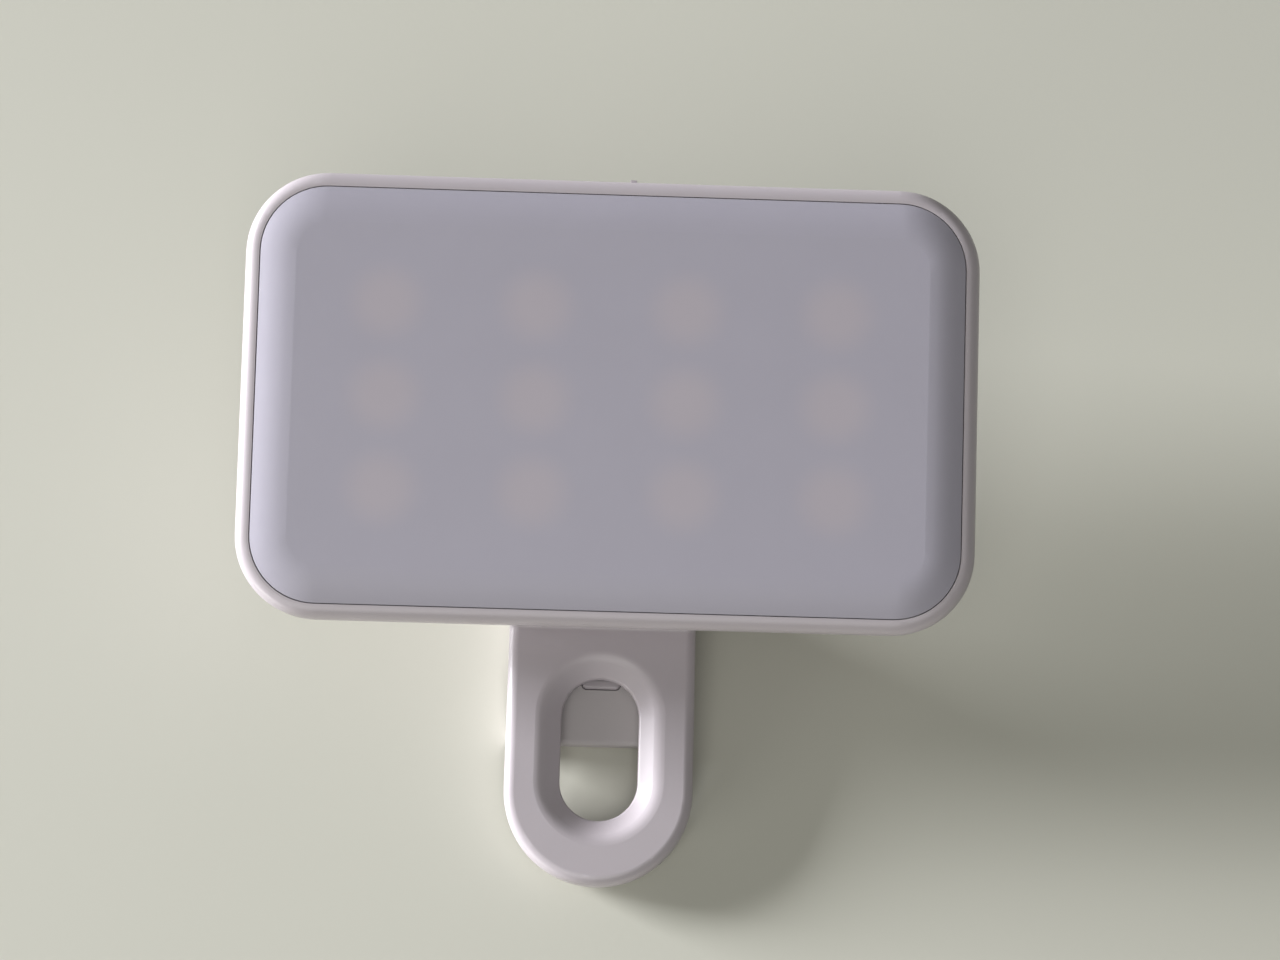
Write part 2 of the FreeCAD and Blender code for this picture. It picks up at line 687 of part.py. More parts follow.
def crown_section(sketch, edge):
    """Draws what the crown takes away: above an arc that leaves the flat face tangentially."""
    radius = "(crown_reach ^ 2 + crown_rise ^ 2) / (2 * crown_rise)"
    side, inside, top = value(edge), value(f"{edge} - crown_reach"), value("head_depth + crown_rise")
    low, size = value("head_depth"), value(radius)
    end = math.degrees(math.asin(value("crown_reach") / size))
    arc = draw_arc(sketch, (inside, top - size), size, 90 - end, 90)
    above, beyond = top + value("crown_rise"), side + value("crown_rise")
    over = draw_line(sketch, (inside, top), (inside, above))
    across = draw_line(sketch, (inside, above), (beyond, above))
    down = draw_line(sketch, (beyond, above), (beyond, low))
    back = draw_line(sketch, (beyond, low), (side, low))
    chain = (arc, over, across, down, back)
    for item, following in zip(chain, chain[1:] + chain[:1]):
        sketch.addConstraint(Sketcher.Constraint("Coincident", item, 2, following, 1))
    sketch.addConstraint(Sketcher.Constraint("Vertical", over))
    sketch.addConstraint(Sketcher.Constraint("Horizontal", across))
    sketch.addConstraint(Sketcher.Constraint("Vertical", down))
    sketch.addConstraint(Sketcher.Constraint("Horizontal", back))
    tie_point(sketch, arc, 3, f"{edge} - crown_reach", f"head_depth + crown_rise - {radius}")
    tie_point(sketch, arc, 1, edge, "head_depth")
    tie(sketch, "DistanceY", "crown_rise", over, 1, over, 2)
    tie(sketch, "DistanceX", "crown_rise", back, 2, back, 1)
    sketch.addConstraint(Sketcher.Constraint("Vertical", arc, 3, arc, 2))


# Light engine

def build_led_board():
    """The white board that carries the light sources, screwed on the four posts."""
    body = new_body("led_board")
    outline = new_sketch(body, "BoardOutline", "XY_Plane", "board_level")
    round_rectangle(outline, BOARD_WIDTH, BOARD_HEIGHT, "board_corner")
    for across, along in corners(POSTS_ACROSS, POSTS_ALONG):
        circle(outline, "screw_radius + screw_gap", across, along)
    pad(body, "Board", outline, "board_thickness")
    finish_part(body, "led_board", "head")


def build_leds():
    """The twelve light sources: small packages with a shallow round dish."""
    level = "(board_level + board_thickness)"
    for row in range(LED_ROWS):
        for column in range(LED_COLUMNS):
            across = f"{column - (LED_COLUMNS - 1) / 2} * {LED_PITCH_ACROSS}"
            along = f"{(LED_ROWS - 1) / 2 - row} * {LED_PITCH_ALONG}"
            tag = f"R{row + 1}C{column + 1}"
            case = box(f"LedCase{tag}", "led_length", "led_width", "led_height", across, along, level)
            dish = cylinder(f"LedDish{tag}", "led_dish", "led_dish_depth", across, along,
                            f"{level} + led_height - led_dish_depth")
            finish_part(cut(f"Led{tag}", case, dish), f"led_{tag.lower()}", "head")


def screw_set(name, places, head_level, length, frame, upwards):
    """A node of like small screws: a flat head with a plain shank."""
    shank = f"({length}) - screw_head_height"
    screws = []
    for number, (across, along) in enumerate(places, start=1):
        head = cylinder(f"{name}Head{number}", "screw_head_radius", "screw_head_height", across, along, head_level)
        start = f"{head_level} + screw_head_height" if upwards else f"{head_level} - ({shank})"
        stem = cylinder(f"{name}Shank{number}", "screw_radius", shank, across, along, start)
        screws.append(fuse(f"{name}Screw{number}", [head, stem]))
    finish_part(group(name, screws), f"{name.lower()}_screws", frame)


def build_screws():
    """The LED board's four screws and the four that hold the clip's plate to the head."""
    screw_set("Board", corners(POSTS_ACROSS, POSTS_ALONG), "board_level + board_thickness",
              "board_screw_length + screw_head_height - screw_gap", "head", False)
    screw_set("Clip", plate_screw_places(), "recess_gap - plate_thickness", "screw_length", "head", True)


def build_cell():
    """The flat pouch cell with its folded cap, and the foam tape under it."""
    body = new_body("battery")
    outline = new_sketch(body, "CellOutline", "XY_Plane", CELL_LEVEL)
    round_rectangle(outline, CELL_WIDTH, CELL_LENGTH, "cell_corner", CELL_ACROSS, CELL_ALONG)
    pouch = pad(body, "Pouch", outline, "cell_thickness")
    top = value(f"{CELL_LEVEL} + cell_thickness")
    fillet(body, "PouchRound", pouch, "cell_round", lambda low, high: near(low.z, top))
    cap = new_sketch(body, "CapOutline", "XY_Plane", CELL_LEVEL)
    rectangle(cap, f"{CELL_WIDTH} - 4 * cell_corner", "cell_cap_length + cell_corner", CELL_ACROSS,
              f"{CELL_ALONG} + {CELL_LENGTH} / 2 + (cell_cap_length - cell_corner) / 2")
    pad(body, "Cap", cap, "cell_cap_thickness")
    finish_part(body, "battery", "head")
    tape = box("BatteryTape", f"{CELL_WIDTH} - 2 * tape_margin", f"{CELL_LENGTH} - 2 * tape_margin",
               "tape_thickness", CELL_ACROSS, CELL_ALONG, "shell_floor")
    finish_part(group("Tape", [tape]), "battery_tape", "head")


def build_leads():
    """The cell's two short wires: from its cap round one bend to the control board's end."""
    level = f"{CONTROL_TOP} + lead_radius"
    cap_end = f"({CELL_ALONG} + {CELL_LENGTH} / 2 + cell_cap_length)"
    for name, step in (("battery_lead_red", "0.5"), ("battery_lead_black", "-0.5")):
        body = new_body(name)
        across = f"({CELL_ACROSS} - {step} * lead_spacing)"
        along = f"({CONTROL_EDGE} - control_depth / 2 + {step} * lead_spacing)"
        route = new_sketch(body, "Route", "XY_Plane", level)
        bend_route(route, across, cap_end, along, f"{CONTROL_LEFT} + lead_overlap")
        section = new_sketch(body, "Section", "XZ_Plane", f"-{cap_end}")
        circle(section, "lead_radius", across, level)
        wire = body.newObject("PartDesign::AdditivePipe", "Wire")
        wire.Profile = section
        wire.Spine = (route, ["Edge1", "Edge2", "Edge3"])
        DOC.recompute()
        finish_part(body, name, "head")


def bend_route(sketch, across, start, along, end):
    """Draws a wire's route: up from its start, round a bend and across to its end."""
    x, low, high, far, bend = (value(text) for text in (across, start, along, end, "lead_bend"))
    rise = draw_line(sketch, (x, low), (x, high - bend))
    arc = draw_arc(sketch, (x + bend, high - bend), bend, 90, 180)
    run = draw_line(sketch, (x + bend, high), (far, high))
    sketch.addConstraint(Sketcher.Constraint("Tangent", rise, 2, arc, 2))
    sketch.addConstraint(Sketcher.Constraint("Tangent", arc, 1, run, 1))
    sketch.addConstraint(Sketcher.Constraint("Vertical", rise))
    sketch.addConstraint(Sketcher.Constraint("Horizontal", run))
    tie(sketch, "Radius", "lead_bend", arc)
    tie_point(sketch, rise, 1, across, start)
    tie_point(sketch, run, 2, end, along)


# Control board, port, button and indicator

def build_control_board():
    """The narrow board behind the top wall."""
    board = box("ControlBoard", CONTROL_WIDTH, "control_depth", "control_thickness",
                f"{CONTROL_LEFT} + {CONTROL_WIDTH} / 2", f"{CONTROL_EDGE} - control_depth / 2", "control_level")
    finish_part(group("Control", [board]), "control_board", "head")
    header = box("HeaderBlock", "header_width", "header_depth", "header_height", HEADER_PLACE,
                 f"{CONTROL_EDGE} - control_depth + header_depth", CONTROL_TOP)
    pins = [box(f"HeaderPin{side}", "header_pin", "header_pin", f"board_level - {CONTROL_TOP}",
                f"{HEADER_PLACE} + {step} * header_width / 4", f"{CONTROL_EDGE} - control_depth + header_depth",
                CONTROL_TOP)
            for side, step in (("Left", "-1"), ("Right", "1"))]
    finish_part(fuse("LinkHeader", [header] + pins), "link_header", "head")


def build_port():
    """The charging port: a drawn metal shell, open to the top wall, with its tongue inside."""
    mouth = f"({TOP_OUTSIDE} - port_recess)"
    body = new_body("usb_shell")
    outline = new_sketch(body, "ShellOutline", "XZ_Plane", f"-{mouth}")
    round_rectangle(outline, "port_width", "port_height", "port_corner", PORT_PLACE, PORT_LEVEL)
    pad(body, "Shell", outline, "port_length")
    hollow = new_sketch(body, "HollowOutline", "XZ_Plane", f"-{mouth}")
    skin = "2 * port_skin"
    round_rectangle(hollow, f"port_width - {skin}", f"port_height - {skin}", "port_corner - port_skin",
                    PORT_PLACE, PORT_LEVEL)
    pocket(body, "Hollow", hollow, "port_length - 2 * port_skin", backwards=True)
    finish_part(body, "usb_shell", "head")
    tongue = box("UsbTongue", "port_tongue_width", "port_tongue_length", "port_tongue_thickness", PORT_PLACE,
                 f"{mouth} - port_length + 2 * port_skin + port_tongue_length / 2",
                 f"{PORT_LEVEL} - port_tongue_thickness / 2")
    finish_part(group("Tongue", [tongue]), "usb_tongue", "head")


def build_button():
    """The power button, trapped behind the wall by its flange, and the switch that it presses."""
    body = new_body("power_button")
    flange = new_sketch(body, "FlangeOutline", "XZ_Plane", f"-{FLANGE_FACE}")
    stadium(flange, "button_length + 2 * button_flange_reach", "button_width + button_flange_reach",
            BUTTON_PLACE, PORT_LEVEL)
    pad(body, "Flange", flange, "button_flange")
    cap = new_sketch(body, "CapOutline", "XZ_Plane", f"-{FLANGE_FACE}")
    stadium(cap, "button_length", "button_width", BUTTON_PLACE, PORT_LEVEL)
    face = pad(body, "Cap", cap, f"{TOP_OUTSIDE} - {FLANGE_FACE} + button_stand", backwards=True)
    front = value(f"{TOP_OUTSIDE} + button_stand")
    fillet(body, "CapRound", face, "button_round", lambda low, high: near(low.y, front))
    finish_part(body, "power_button", "head")
    build_switch()


def build_switch():
    """The side-push switch on the control board."""
    body = new_body("tactile_switch")
    case = new_sketch(body, "CaseOutline", "XZ_Plane", f"-{SWITCH_FACE}")
    rectangle(case, "switch_width", "port_height", BUTTON_PLACE, PORT_LEVEL)
    pad(body, "Case", case, "switch_depth")
    plunger = new_sketch(body, "PlungerOutline", "XZ_Plane", f"-{SWITCH_FACE}")
    circle(plunger, "switch_plunger_radius", BUTTON_PLACE, PORT_LEVEL)
    pad(body, "Plunger", plunger, "switch_plunger_length", backwards=True)
    finish_part(body, "tactile_switch", "head")


def build_indicator():
    """The indicator: a tall small source on the board and a clear rod through the wall."""
    window = DOC.addObject("PartDesign::Body", "IndicatorWindow")
    section = new_sketch(window, "Section", "XZ_Plane", f"-{TOP_OUTSIDE}")
    circle(section, "indicator_radius", INDICATOR_PLACE, PORT_LEVEL)
    pad(window, "Rod", section, "indicator_rod")
    finish_part(window, "indicator_window", "head")
    lamp = box("IndicatorLed", "indicator_led_size", "indicator_led_size", "indicator_led_height",
               INDICATOR_PLACE, f"{TOP_OUTSIDE} - indicator_rod - indicator_led_size / 2", CONTROL_TOP)
    finish_part(group("Lamp", [lamp]), "indicator_led", "head")


# Clip

def build_front_jaw():
    """The clip's front member: the jaw with the camera hole, bent into the plate on the head."""
    body = new_body("front_jaw")
    front_profile(body)
    trim_tip(body, "TipTrim", "front_reach")
    round_plate_end(body)
    add_ears(body, FRONT_EAR, "head_standoff - plate_thickness / 2", "pin_radius")
    cut_camera_hole(body)
    cut_plate_recesses(body)
    face = value(FRONT_FACE)
    half, hole = value("clip_width / 2"), value("hole_width / 2 + funnel_reach")
    fillet(body, "FaceRound", body.Tip, "front_round",
           lambda low, high: near(low.z, face) and near(high.z, face)
           and (near(high.x, half) or near(low.x, -half)) and not near(high.x, hole))
    finish_part(body, "front_jaw", "clip")


def front_profile(body):
    """Draws and pads the front member's side profile."""
    step = turned("-plate_start", "head_standoff", "clip_lean")
    bend_out = f"{PLATE_BACK} / cos(clip_lean) - hinge_space * tan(clip_lean)"
    profile = new_sketch(body, "SideProfile", "YZ_Plane")
    polygon(profile, [
        ("-front_reach", FRONT_BACK),
        ("-hinge_space", FRONT_BACK),
        ("-hinge_space", bend_out),
        turned("plate_reach", PLATE_BACK, "clip_lean"),
        turned("plate_reach", "head_standoff", "clip_lean"),
        step,
        (step[0], FRONT_FACE),
        ("-front_reach", FRONT_FACE),
    ])
    pad(body, "Slab", profile, "clip_width", symmetric=True)


def trim_tip(body, name, reach):
    """Cuts a jaw's tip to a half round in plan."""
    plan = new_sketch(body, f"{name}Plan", "XY_Plane")
    rectangle(plan, "2 * clip_width", f"6 * ({reach})", "0", reach)
    stadium(plan, f"4 * ({reach})", "clip_width", "0", reach, upright=True)
    pocket(body, name, plan, symmetric=True)


def round_plate_end(body):
    """Rounds the two upper corners of the plate."""
    half, end = value("clip_width / 2"), value(turned("plate_reach", "head_standoff", "clip_lean")[0])
    fillet(body, "PlateCorners", body.Tip, "plate_corner",
           lambda low, high: near(abs(low.x), half) and near(low.x, high.x) and near(low.y, end))


def add_ears(body, place, end, bore):
    """Adds the two ears of a hinge member and bores them for the pin."""
    outline = new_sketch(body, "EarOutline", "YZ_Plane", place)
    ear_outline(outline, end)
    ear = pad(body, "Ear", outline, "ear_thickness", symmetric=True)
    mirror(body, "EarPair", [ear])
    section = new_sketch(body, "BoreSection", "YZ_Plane")
    circle(section, bore)
    pocket(body, "Bore", section, symmetric=True)


def cut_camera_hole(body):
    """Cuts the camera hole and its soft funnel through the jaw."""
    hole = new_sketch(body, "HoleOutline", "XY_Plane", FRONT_FACE)
    stadium(hole, HOLE_LENGTH, "hole_width", "0", f"-{HOLE_PLACE}", upright=True)
    pocket(body, "Hole", hole)
    mouth = new_sketch(body, "FunnelOutline", "XY_Plane", FRONT_FACE)
    stadium(mouth, f"{HOLE_LENGTH} + 2 * funnel_reach", "hole_width + 2 * funnel_reach", "0", f"-{HOLE_PLACE}",
            upright=True)
    funnel = pocket(body, "Funnel", mouth, "funnel_depth", draft="-atan2(funnel_reach; funnel_depth)")
    face, reach = value(FRONT_FACE), value("hole_width / 2 + funnel_reach") + BOX_SLACK
    middle, half = value(f"-{HOLE_PLACE}"), value(f"{HOLE_LENGTH} / 2 + funnel_reach") + BOX_SLACK
    rolled = fillet(body, "FunnelRound", funnel, "funnel_round",
                    lambda low, high: near(low.z, face) and near(high.z, face)
                    and max(high.x, -low.x) < reach and max(high.y - middle, middle - low.y) < half)
    depth = value(f"{FRONT_FACE} - funnel_depth")
    fillet(body, "LipRound", rolled, "hole_lip_round",
           lambda low, high: near(low.z, depth) and near(high.z, depth))


def cut_plate_recesses(body):
    """Drills the plate for its screws and sinks their heads into its back."""
    holes = new_sketch(body, "ScrewHoles", "XY_Plane", "head_standoff", "clip_lean")
    sinks = new_sketch(body, "HeadRecesses", "XY_Plane", PLATE_BACK, "clip_lean")
    for side in (-1, 1):
        for row in ("plate_screw_first", "plate_screw_second"):
            circle(holes, "screw_radius + screw_gap", f"{side} * plate_screw_across / 2", row)
            circle(sinks, "screw_head_radius + screw_gap", f"{side} * plate_screw_across / 2", row)
    pocket(body, "Drilling", holes)
    pocket(body, "Sinks", sinks, "recess_gap + screw_head_height", backwards=True)


def build_rear_jaw():
    """The clip's rear member: a short jaw bent into the thumb lever."""
    body = new_body("rear_jaw")
    rear_profile(body)
    ends = value("clip_width / 2")
    round_rear_ends(body, ends)
    add_ears(body, REAR_EAR, "-lever_standoff - rear_thickness / 2", "pin_radius + pin_clearance")
    cut_grooves(body)
    rib = new_sketch(body, "RibOutline", "XY_Plane", f"-{FRONT_BACK}")
    stadium(rib, "rib_width", "rib_height", "0", f"-{RIB_PLACE}")
    bar = pad(body, "Rib", rib, "pad_thickness + rib_stand")
    crest = value(f"pad_thickness + rib_stand - {FRONT_BACK}")
    reach = value("rib_width")
    fillet(body, "RibRound", bar, "rib_round",
           lambda low, high: near(low.z, crest) and near(high.z, crest) and high.x - low.x < reach)
    finish_part(body, "rear_jaw", "clip")


def rear_profile(body):
    """Draws and pads the rear member's side profile."""
    inside = "-lever_standoff / cos(clip_lean) + hinge_space * tan(clip_lean)"
    lever_outside = "(lever_standoff + rear_thickness)"
    bend = f"({REAR_OUTSIDE} * cos(clip_lean) - {lever_outside}) / sin(clip_lean)"
    profile = new_sketch(body, "SideProfile", "YZ_Plane")
    polygon(profile, [
        ("-rear_reach", f"-{FRONT_BACK}"),
        ("-rear_reach", f"-{REAR_OUTSIDE}"),
        (bend, f"-{REAR_OUTSIDE}"),
        turned("lever_reach", f"-{lever_outside}", "-clip_lean"),
        turned("lever_reach", "-lever_standoff", "-clip_lean"),
        ("-hinge_space", inside),
        ("-hinge_space", f"-{FRONT_BACK}"),
    ])
    pad(body, "Slab", profile, "clip_width", symmetric=True)


def round_rear_ends(body, half):
    """Rounds the lever's corners in plan and the crosswise edges of both ends."""
    lever_end = turned("lever_reach", "-lever_standoff", "-clip_lean")
    far = value(turned("lever_reach", "-lever_standoff - rear_thickness", "-clip_lean")[0])
    high_y = max(value(lever_end[0]), far)
    plan = fillet(body, "LeverCorners", body.Tip, "lever_corner",
                  lambda low, high: near(abs(low.x), half) and near(low.x, high.x) and near(high.y, high_y)
                  and high.y - low.y < value("end_round"))
    tip, outside = value("-rear_reach"), value(f"-{REAR_OUTSIDE}")
    rim = value("lever_reach * cos(clip_lean) / 2")
    fillet(body, "EndRound", plan, "end_round",
           lambda low, high: (near(high.y, tip) and near(high.z, outside))
           or (low.y > rim and high.x - low.x > 2 * value("end_round")))


def cut_grooves(body):
    """Cuts the thumb grooves across the lever's outside."""
    first = new_sketch(body, "GrooveOutline", "XY_Plane", "-lever_standoff - rear_thickness", "-clip_lean")
    stadium(first, "groove_length", "groove_width", "0", "groove_first")
    groove = pocket(body, "Groove", first, "groove_depth", backwards=True)
    row = body.newObject("PartDesign::LinearPattern", "Grooves")
    row.Originals = [groove]
    row.Direction = (first, ["V_Axis"])
    row.Mode = "Spacing"
    row.Occurrences = GROOVE_COUNT
    bind(row, {"Offset": "groove_pitch"})
    body.Tip = row
    DOC.recompute()


def build_pads():
    """The soft pads: a ring behind the front jaw and a plate on the rear jaw."""
    body = new_body("front_pad")
    outline = new_sketch(body, "PadOutline", "XY_Plane", "closed_gap / 2")
    rectangle(outline, "clip_width - 2 * pad_inset", f"front_reach - pad_inset - {FRONT_PAD_TOP}", "0",
              f"-(front_reach - pad_inset + {FRONT_PAD_TOP}) / 2")
    pad(body, "Sheet", outline, "pad_thickness")
    trim = new_sketch(body, "TipPlan", "XY_Plane")
    rectangle(trim, "2 * clip_width", "3 * front_reach")
    stadium(trim, "2 * (front_reach - pad_inset)", "clip_width - 2 * pad_inset", upright=True)
    pocket(body, "Tip", trim, symmetric=True)
    hole = new_sketch(body, "HoleOutline", "XY_Plane")
    margin = "2 * pad_hole_margin"
    stadium(hole, f"{HOLE_LENGTH} + {margin}", f"hole_width + {margin}", "0", f"-{HOLE_PLACE}", upright=True)
    pocket(body, "Hole", hole, symmetric=True)
    finish_part(body, "front_pad", "clip")
    build_rear_pad()


def build_rear_pad():
    """The rear pad: a plate with a rolled front edge and a slot that the jaw's rib keys into."""
    body = new_body("rear_pad")
    outline = new_sketch(body, "PadOutline", "XY_Plane", "-closed_gap / 2")
    rectangle(outline, "clip_width", "rear_pad_length", "0", "rear_pad_length / 2 - rear_reach")
    stadium(outline, "rib_width + 2 * rib_gap", "rib_height + 2 * rib_gap", "0", f"-{RIB_PLACE}")
    sheet = pad(body, "Sheet", outline, "pad_thickness", backwards=True)
    tip, top = value("-rear_reach"), value("-closed_gap / 2")
    fillet(body, "PadRound", sheet, "pad_round",
           lambda low, high: near(high.y, tip) and near(low.z, top))
    finish_part(body, "rear_pad", "clip")


def build_hinge_pin():
    """The steel pin, a press fit in the front member's ears."""
    body = new_body("hinge_pin")
    section = new_sketch(body, "Section", "YZ_Plane")
    circle(section, "pin_radius")
    pad(body, "Shaft", section, "clip_width - 2 * pin_recess", symmetric=True)
    finish_part(body, "hinge_pin", "clip")


def leg_angle(face):
    """Angle of a spring leg that leaves the coil and meets a plate at the leg's reach."""
    reach, level = value("leg_reach"), value(f"{face} - wire_radius")
    span = math.hypot(reach, level)
    return math.degrees(math.atan2(level, reach) - math.asin(value("coil_radius") / span)) + value("clip_lean")


def spring_leg(centre_line, start, angle):
    """One straight leg of the spring, along the coil's tangent at its end."""
    radius = value("wire_radius")
    direction = centre_line.normalize()
    length = value("leg_reach") / math.cos(math.radians(angle))
    return Part.makeCylinder(radius, length, start, direction)


def wire_section(centre, direction):
    """Outlines the wire about a point of the coil, with as many flats as keep the coil light."""
    radius = value("wire_radius")
    outwards = FreeCAD.Vector(0, centre.y, centre.z).normalize()
    side = direction.cross(outwards).normalize()
    angles = [2 * math.pi * step / WIRE_SIDES for step in range(WIRE_SIDES + 1)]
    places = [centre + outwards * (radius * math.cos(angle)) + side * (radius * math.sin(angle))
              for angle in angles]
    return Part.makePolygon(places)


def build_torsion_spring():
    """The spring: a coil about the pin whose two legs press the plate and the lever apart."""
    radius, pitch = value("coil_radius"), value("2 * wire_radius + coil_gap")
    front, rear = leg_angle(PLATE_BACK), leg_angle("lever_standoff")
    first, last = 90 + front, 270 - rear + 360 * COIL_TURNS
    turns = (last - first) / 360
    helix = Part.makeHelix(pitch, pitch * turns, radius)
    helix.transformShape(FreeCAD.Matrix(0, 0, 1, 0, 1, 0, 0, 0, 0, 1, 0, 0, 0, 0, 0, 1))
    helix.translate(X_AXIS * (-pitch * turns / 2))
    helix.rotate(FreeCAD.Vector(), X_AXIS, first)
    edge = helix.Edges[0]
    start, end = edge.valueAt(edge.FirstParameter), edge.valueAt(edge.LastParameter)
    leave, arrive = edge.tangentAt(edge.FirstParameter), edge.tangentAt(edge.LastParameter)
    coil = Part.Wire(helix.Edges).makePipeShell([wire_section(start, leave)], True, True)
    legs = [spring_leg(leave * -1, start, front), spring_leg(arrive, end, rear)]
    spring = DOC.addObject("Part::Feature", "TorsionSpring")
    spring.Shape = coil.fuse(legs)
    finish_part(spring, "torsion_spring", "clip")


# Document

def build_all():
    """Builds every sub-part of the light."""
    fill_sheet()
    set_posture()
    build_rear_cover()
    build_front_bezel()
    build_diffuser()
    build_led_board()
    build_leds()
    build_screws()
    build_cell()
    build_leads()
    build_control_board()
    build_port()
    build_button()
    build_indicator()
    build_front_jaw()
    build_rear_jaw()
    build_pads()
    build_hinge_pin()
    build_torsion_spring()
    DOC.recompute()


def check_document():
    """Stops if any object failed to compute or a sub-part has no sound shape."""
    for item in DOC.Objects:
        if "Invalid" in item.State or "Error" in item.State:
            raise RuntimeError(f"{item.Name} of {DOC.Name} failed: {item.State}")
    for item in PARTS:
        if item.Shape.isNull() or not item.Shape.isValid() or not item.Shape.Solids:
            raise RuntimeError(f"{item.Label} has no valid solid")


def write_parts():
    """Writes each sub-part to its own file."""
    os.makedirs("parts", exist_ok=True)
    for item in PARTS:
        item.Shape.exportStep(f"parts/{item.Label}.step")
        box_size = item.Shape.optimalBoundingBox()
        print(f"{item.Label}: {len(item.Shape.Solids)} solid(s), {item.Shape.Volume:.1f} mm3, "
              f"{box_size.XLength:.1f} x {box_size.YLength:.1f} x {box_size.ZLength:.1f}")


build_all()
check_document()
write_parts()
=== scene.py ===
import json
import logging
import math
from collections.abc import Callable
from dataclasses import dataclass
from enum import Enum
from typing import Any

import bmesh
import bpy
from mathutils import Matrix, Vector


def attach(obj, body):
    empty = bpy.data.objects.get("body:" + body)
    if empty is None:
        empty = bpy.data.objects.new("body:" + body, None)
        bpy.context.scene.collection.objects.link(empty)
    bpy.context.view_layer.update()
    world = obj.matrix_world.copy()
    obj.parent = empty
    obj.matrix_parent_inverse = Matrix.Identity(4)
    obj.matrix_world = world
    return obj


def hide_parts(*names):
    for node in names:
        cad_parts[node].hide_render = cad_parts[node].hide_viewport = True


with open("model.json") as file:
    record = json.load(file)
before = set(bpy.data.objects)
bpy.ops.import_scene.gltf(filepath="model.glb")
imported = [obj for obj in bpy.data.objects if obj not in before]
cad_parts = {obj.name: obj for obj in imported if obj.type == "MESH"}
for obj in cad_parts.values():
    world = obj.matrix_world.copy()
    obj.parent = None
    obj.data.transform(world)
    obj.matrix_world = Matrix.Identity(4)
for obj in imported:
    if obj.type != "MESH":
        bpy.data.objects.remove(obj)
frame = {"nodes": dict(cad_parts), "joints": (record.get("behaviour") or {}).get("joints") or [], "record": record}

LOG = logging.getLogger("fill_light")
MM = 0.001
HEAD_BODY = "head"
CLIP_BODY = "rear_clip"
DOME_REACH = 0.35
DOME_SIZE = 0.6
DEFAULT_CORNER = 35.0
Tree = bpy.types.NodeTree
Node = bpy.types.Node
Socket = bpy.types.NodeSocket


class Grain(Enum):
    """How a surface's fine grain lies: how many times finer it is along X, Y and Z."""

    EVEN = (1.0, 1.0, 1.0)
    DRAWN_ACROSS = (0.06, 1.0, 1.0)
    BRUSHED_ALONG = (1.0, 0.06, 1.0)


def linear(code: str) -> tuple[float, float, float, float]:
    """Turns an sRGB hex colour into linear red, green, blue and alpha.

    Args:
        code: Six hex digits after a hash.

    Returns:
        The linear colour with full alpha.
    """
    channels = [int(code[i:i + 2], 16) / 255 for i in (1, 3, 5)]
    red, green, blue = (c / 12.92 if c <= 0.04045 else ((c + 0.055) / 1.055) ** 2.4 for c in channels)
    return red, green, blue, 1.0


def add_node(tree: Tree, kind: str, sockets: dict | None = None, links: dict | None = None,
             **settings: Any) -> Node:
    """Adds a shader node with its settings, socket values and links.

    Args:
        tree: The node tree that gets the node.
        kind: The node's type without the leading ShaderNode.
        sockets: Values of input sockets, by name or number.
        links: Output sockets that feed input sockets, by name or number.
        **settings: The node's own properties.

    Returns:
        The new node.
    """
    node = tree.nodes.new(f"ShaderNode{kind}")
    for name, setting in settings.items():
        setattr(node, name, setting)
    for name, number in (sockets or {}).items():
        node.inputs[name].default_value = number
    for name, source in (links or {}).items():
        tree.links.new(source, node.inputs[name])
    return node


# Places on the light, read from the frame

def mount_tilt(name: str) -> float:
    """Reads how far a mount's axis leans out of the table's plane, in radians."""
    mount = next(mount for mount in frame["record"]["mounts"] if mount["name"] == name)
    return math.atan2(abs(mount["axis"][2]), abs(mount["axis"][1]))


@dataclass(frozen=True)
class ClipFrame:
    """The hinge pin's own frame: +Y away from the jaws' tips, +Z out of the front jaw."""

    lean: float = math.radians(9.0)

    def matrix(self) -> Matrix:
        """Places the frame on the clip's hinge."""
        hinge = next(joint for joint in frame["joints"] if joint["name"] == "clip_hinge")
        return Matrix.Translation(hinge["pos_m"]) @ Matrix.Rotation(mount_tilt("clip_grip"), 4, "X")


@dataclass(frozen=True)
class HeadFrame:
    """The light head's own frame: on the middle of its back, +Y to its top edge, +Z out of its window."""

    standoff: float = 6.6 * MM
    along: float = 25.7 * MM

    @property
    def tilt(self) -> float:
        """How far the head leans, in radians."""
        return mount_tilt("usb_port")

    def matrix(self) -> Matrix:
        """Places the frame on the head."""
        hinge = next(joint for joint in frame["joints"] if joint["name"] == "clip_hinge")
        turn = Matrix.Rotation(self.tilt, 4, "X")
        return Matrix.Translation(hinge["pos_m"]) @ turn @ Matrix.Translation((0, self.along, self.standoff))


# Finishes

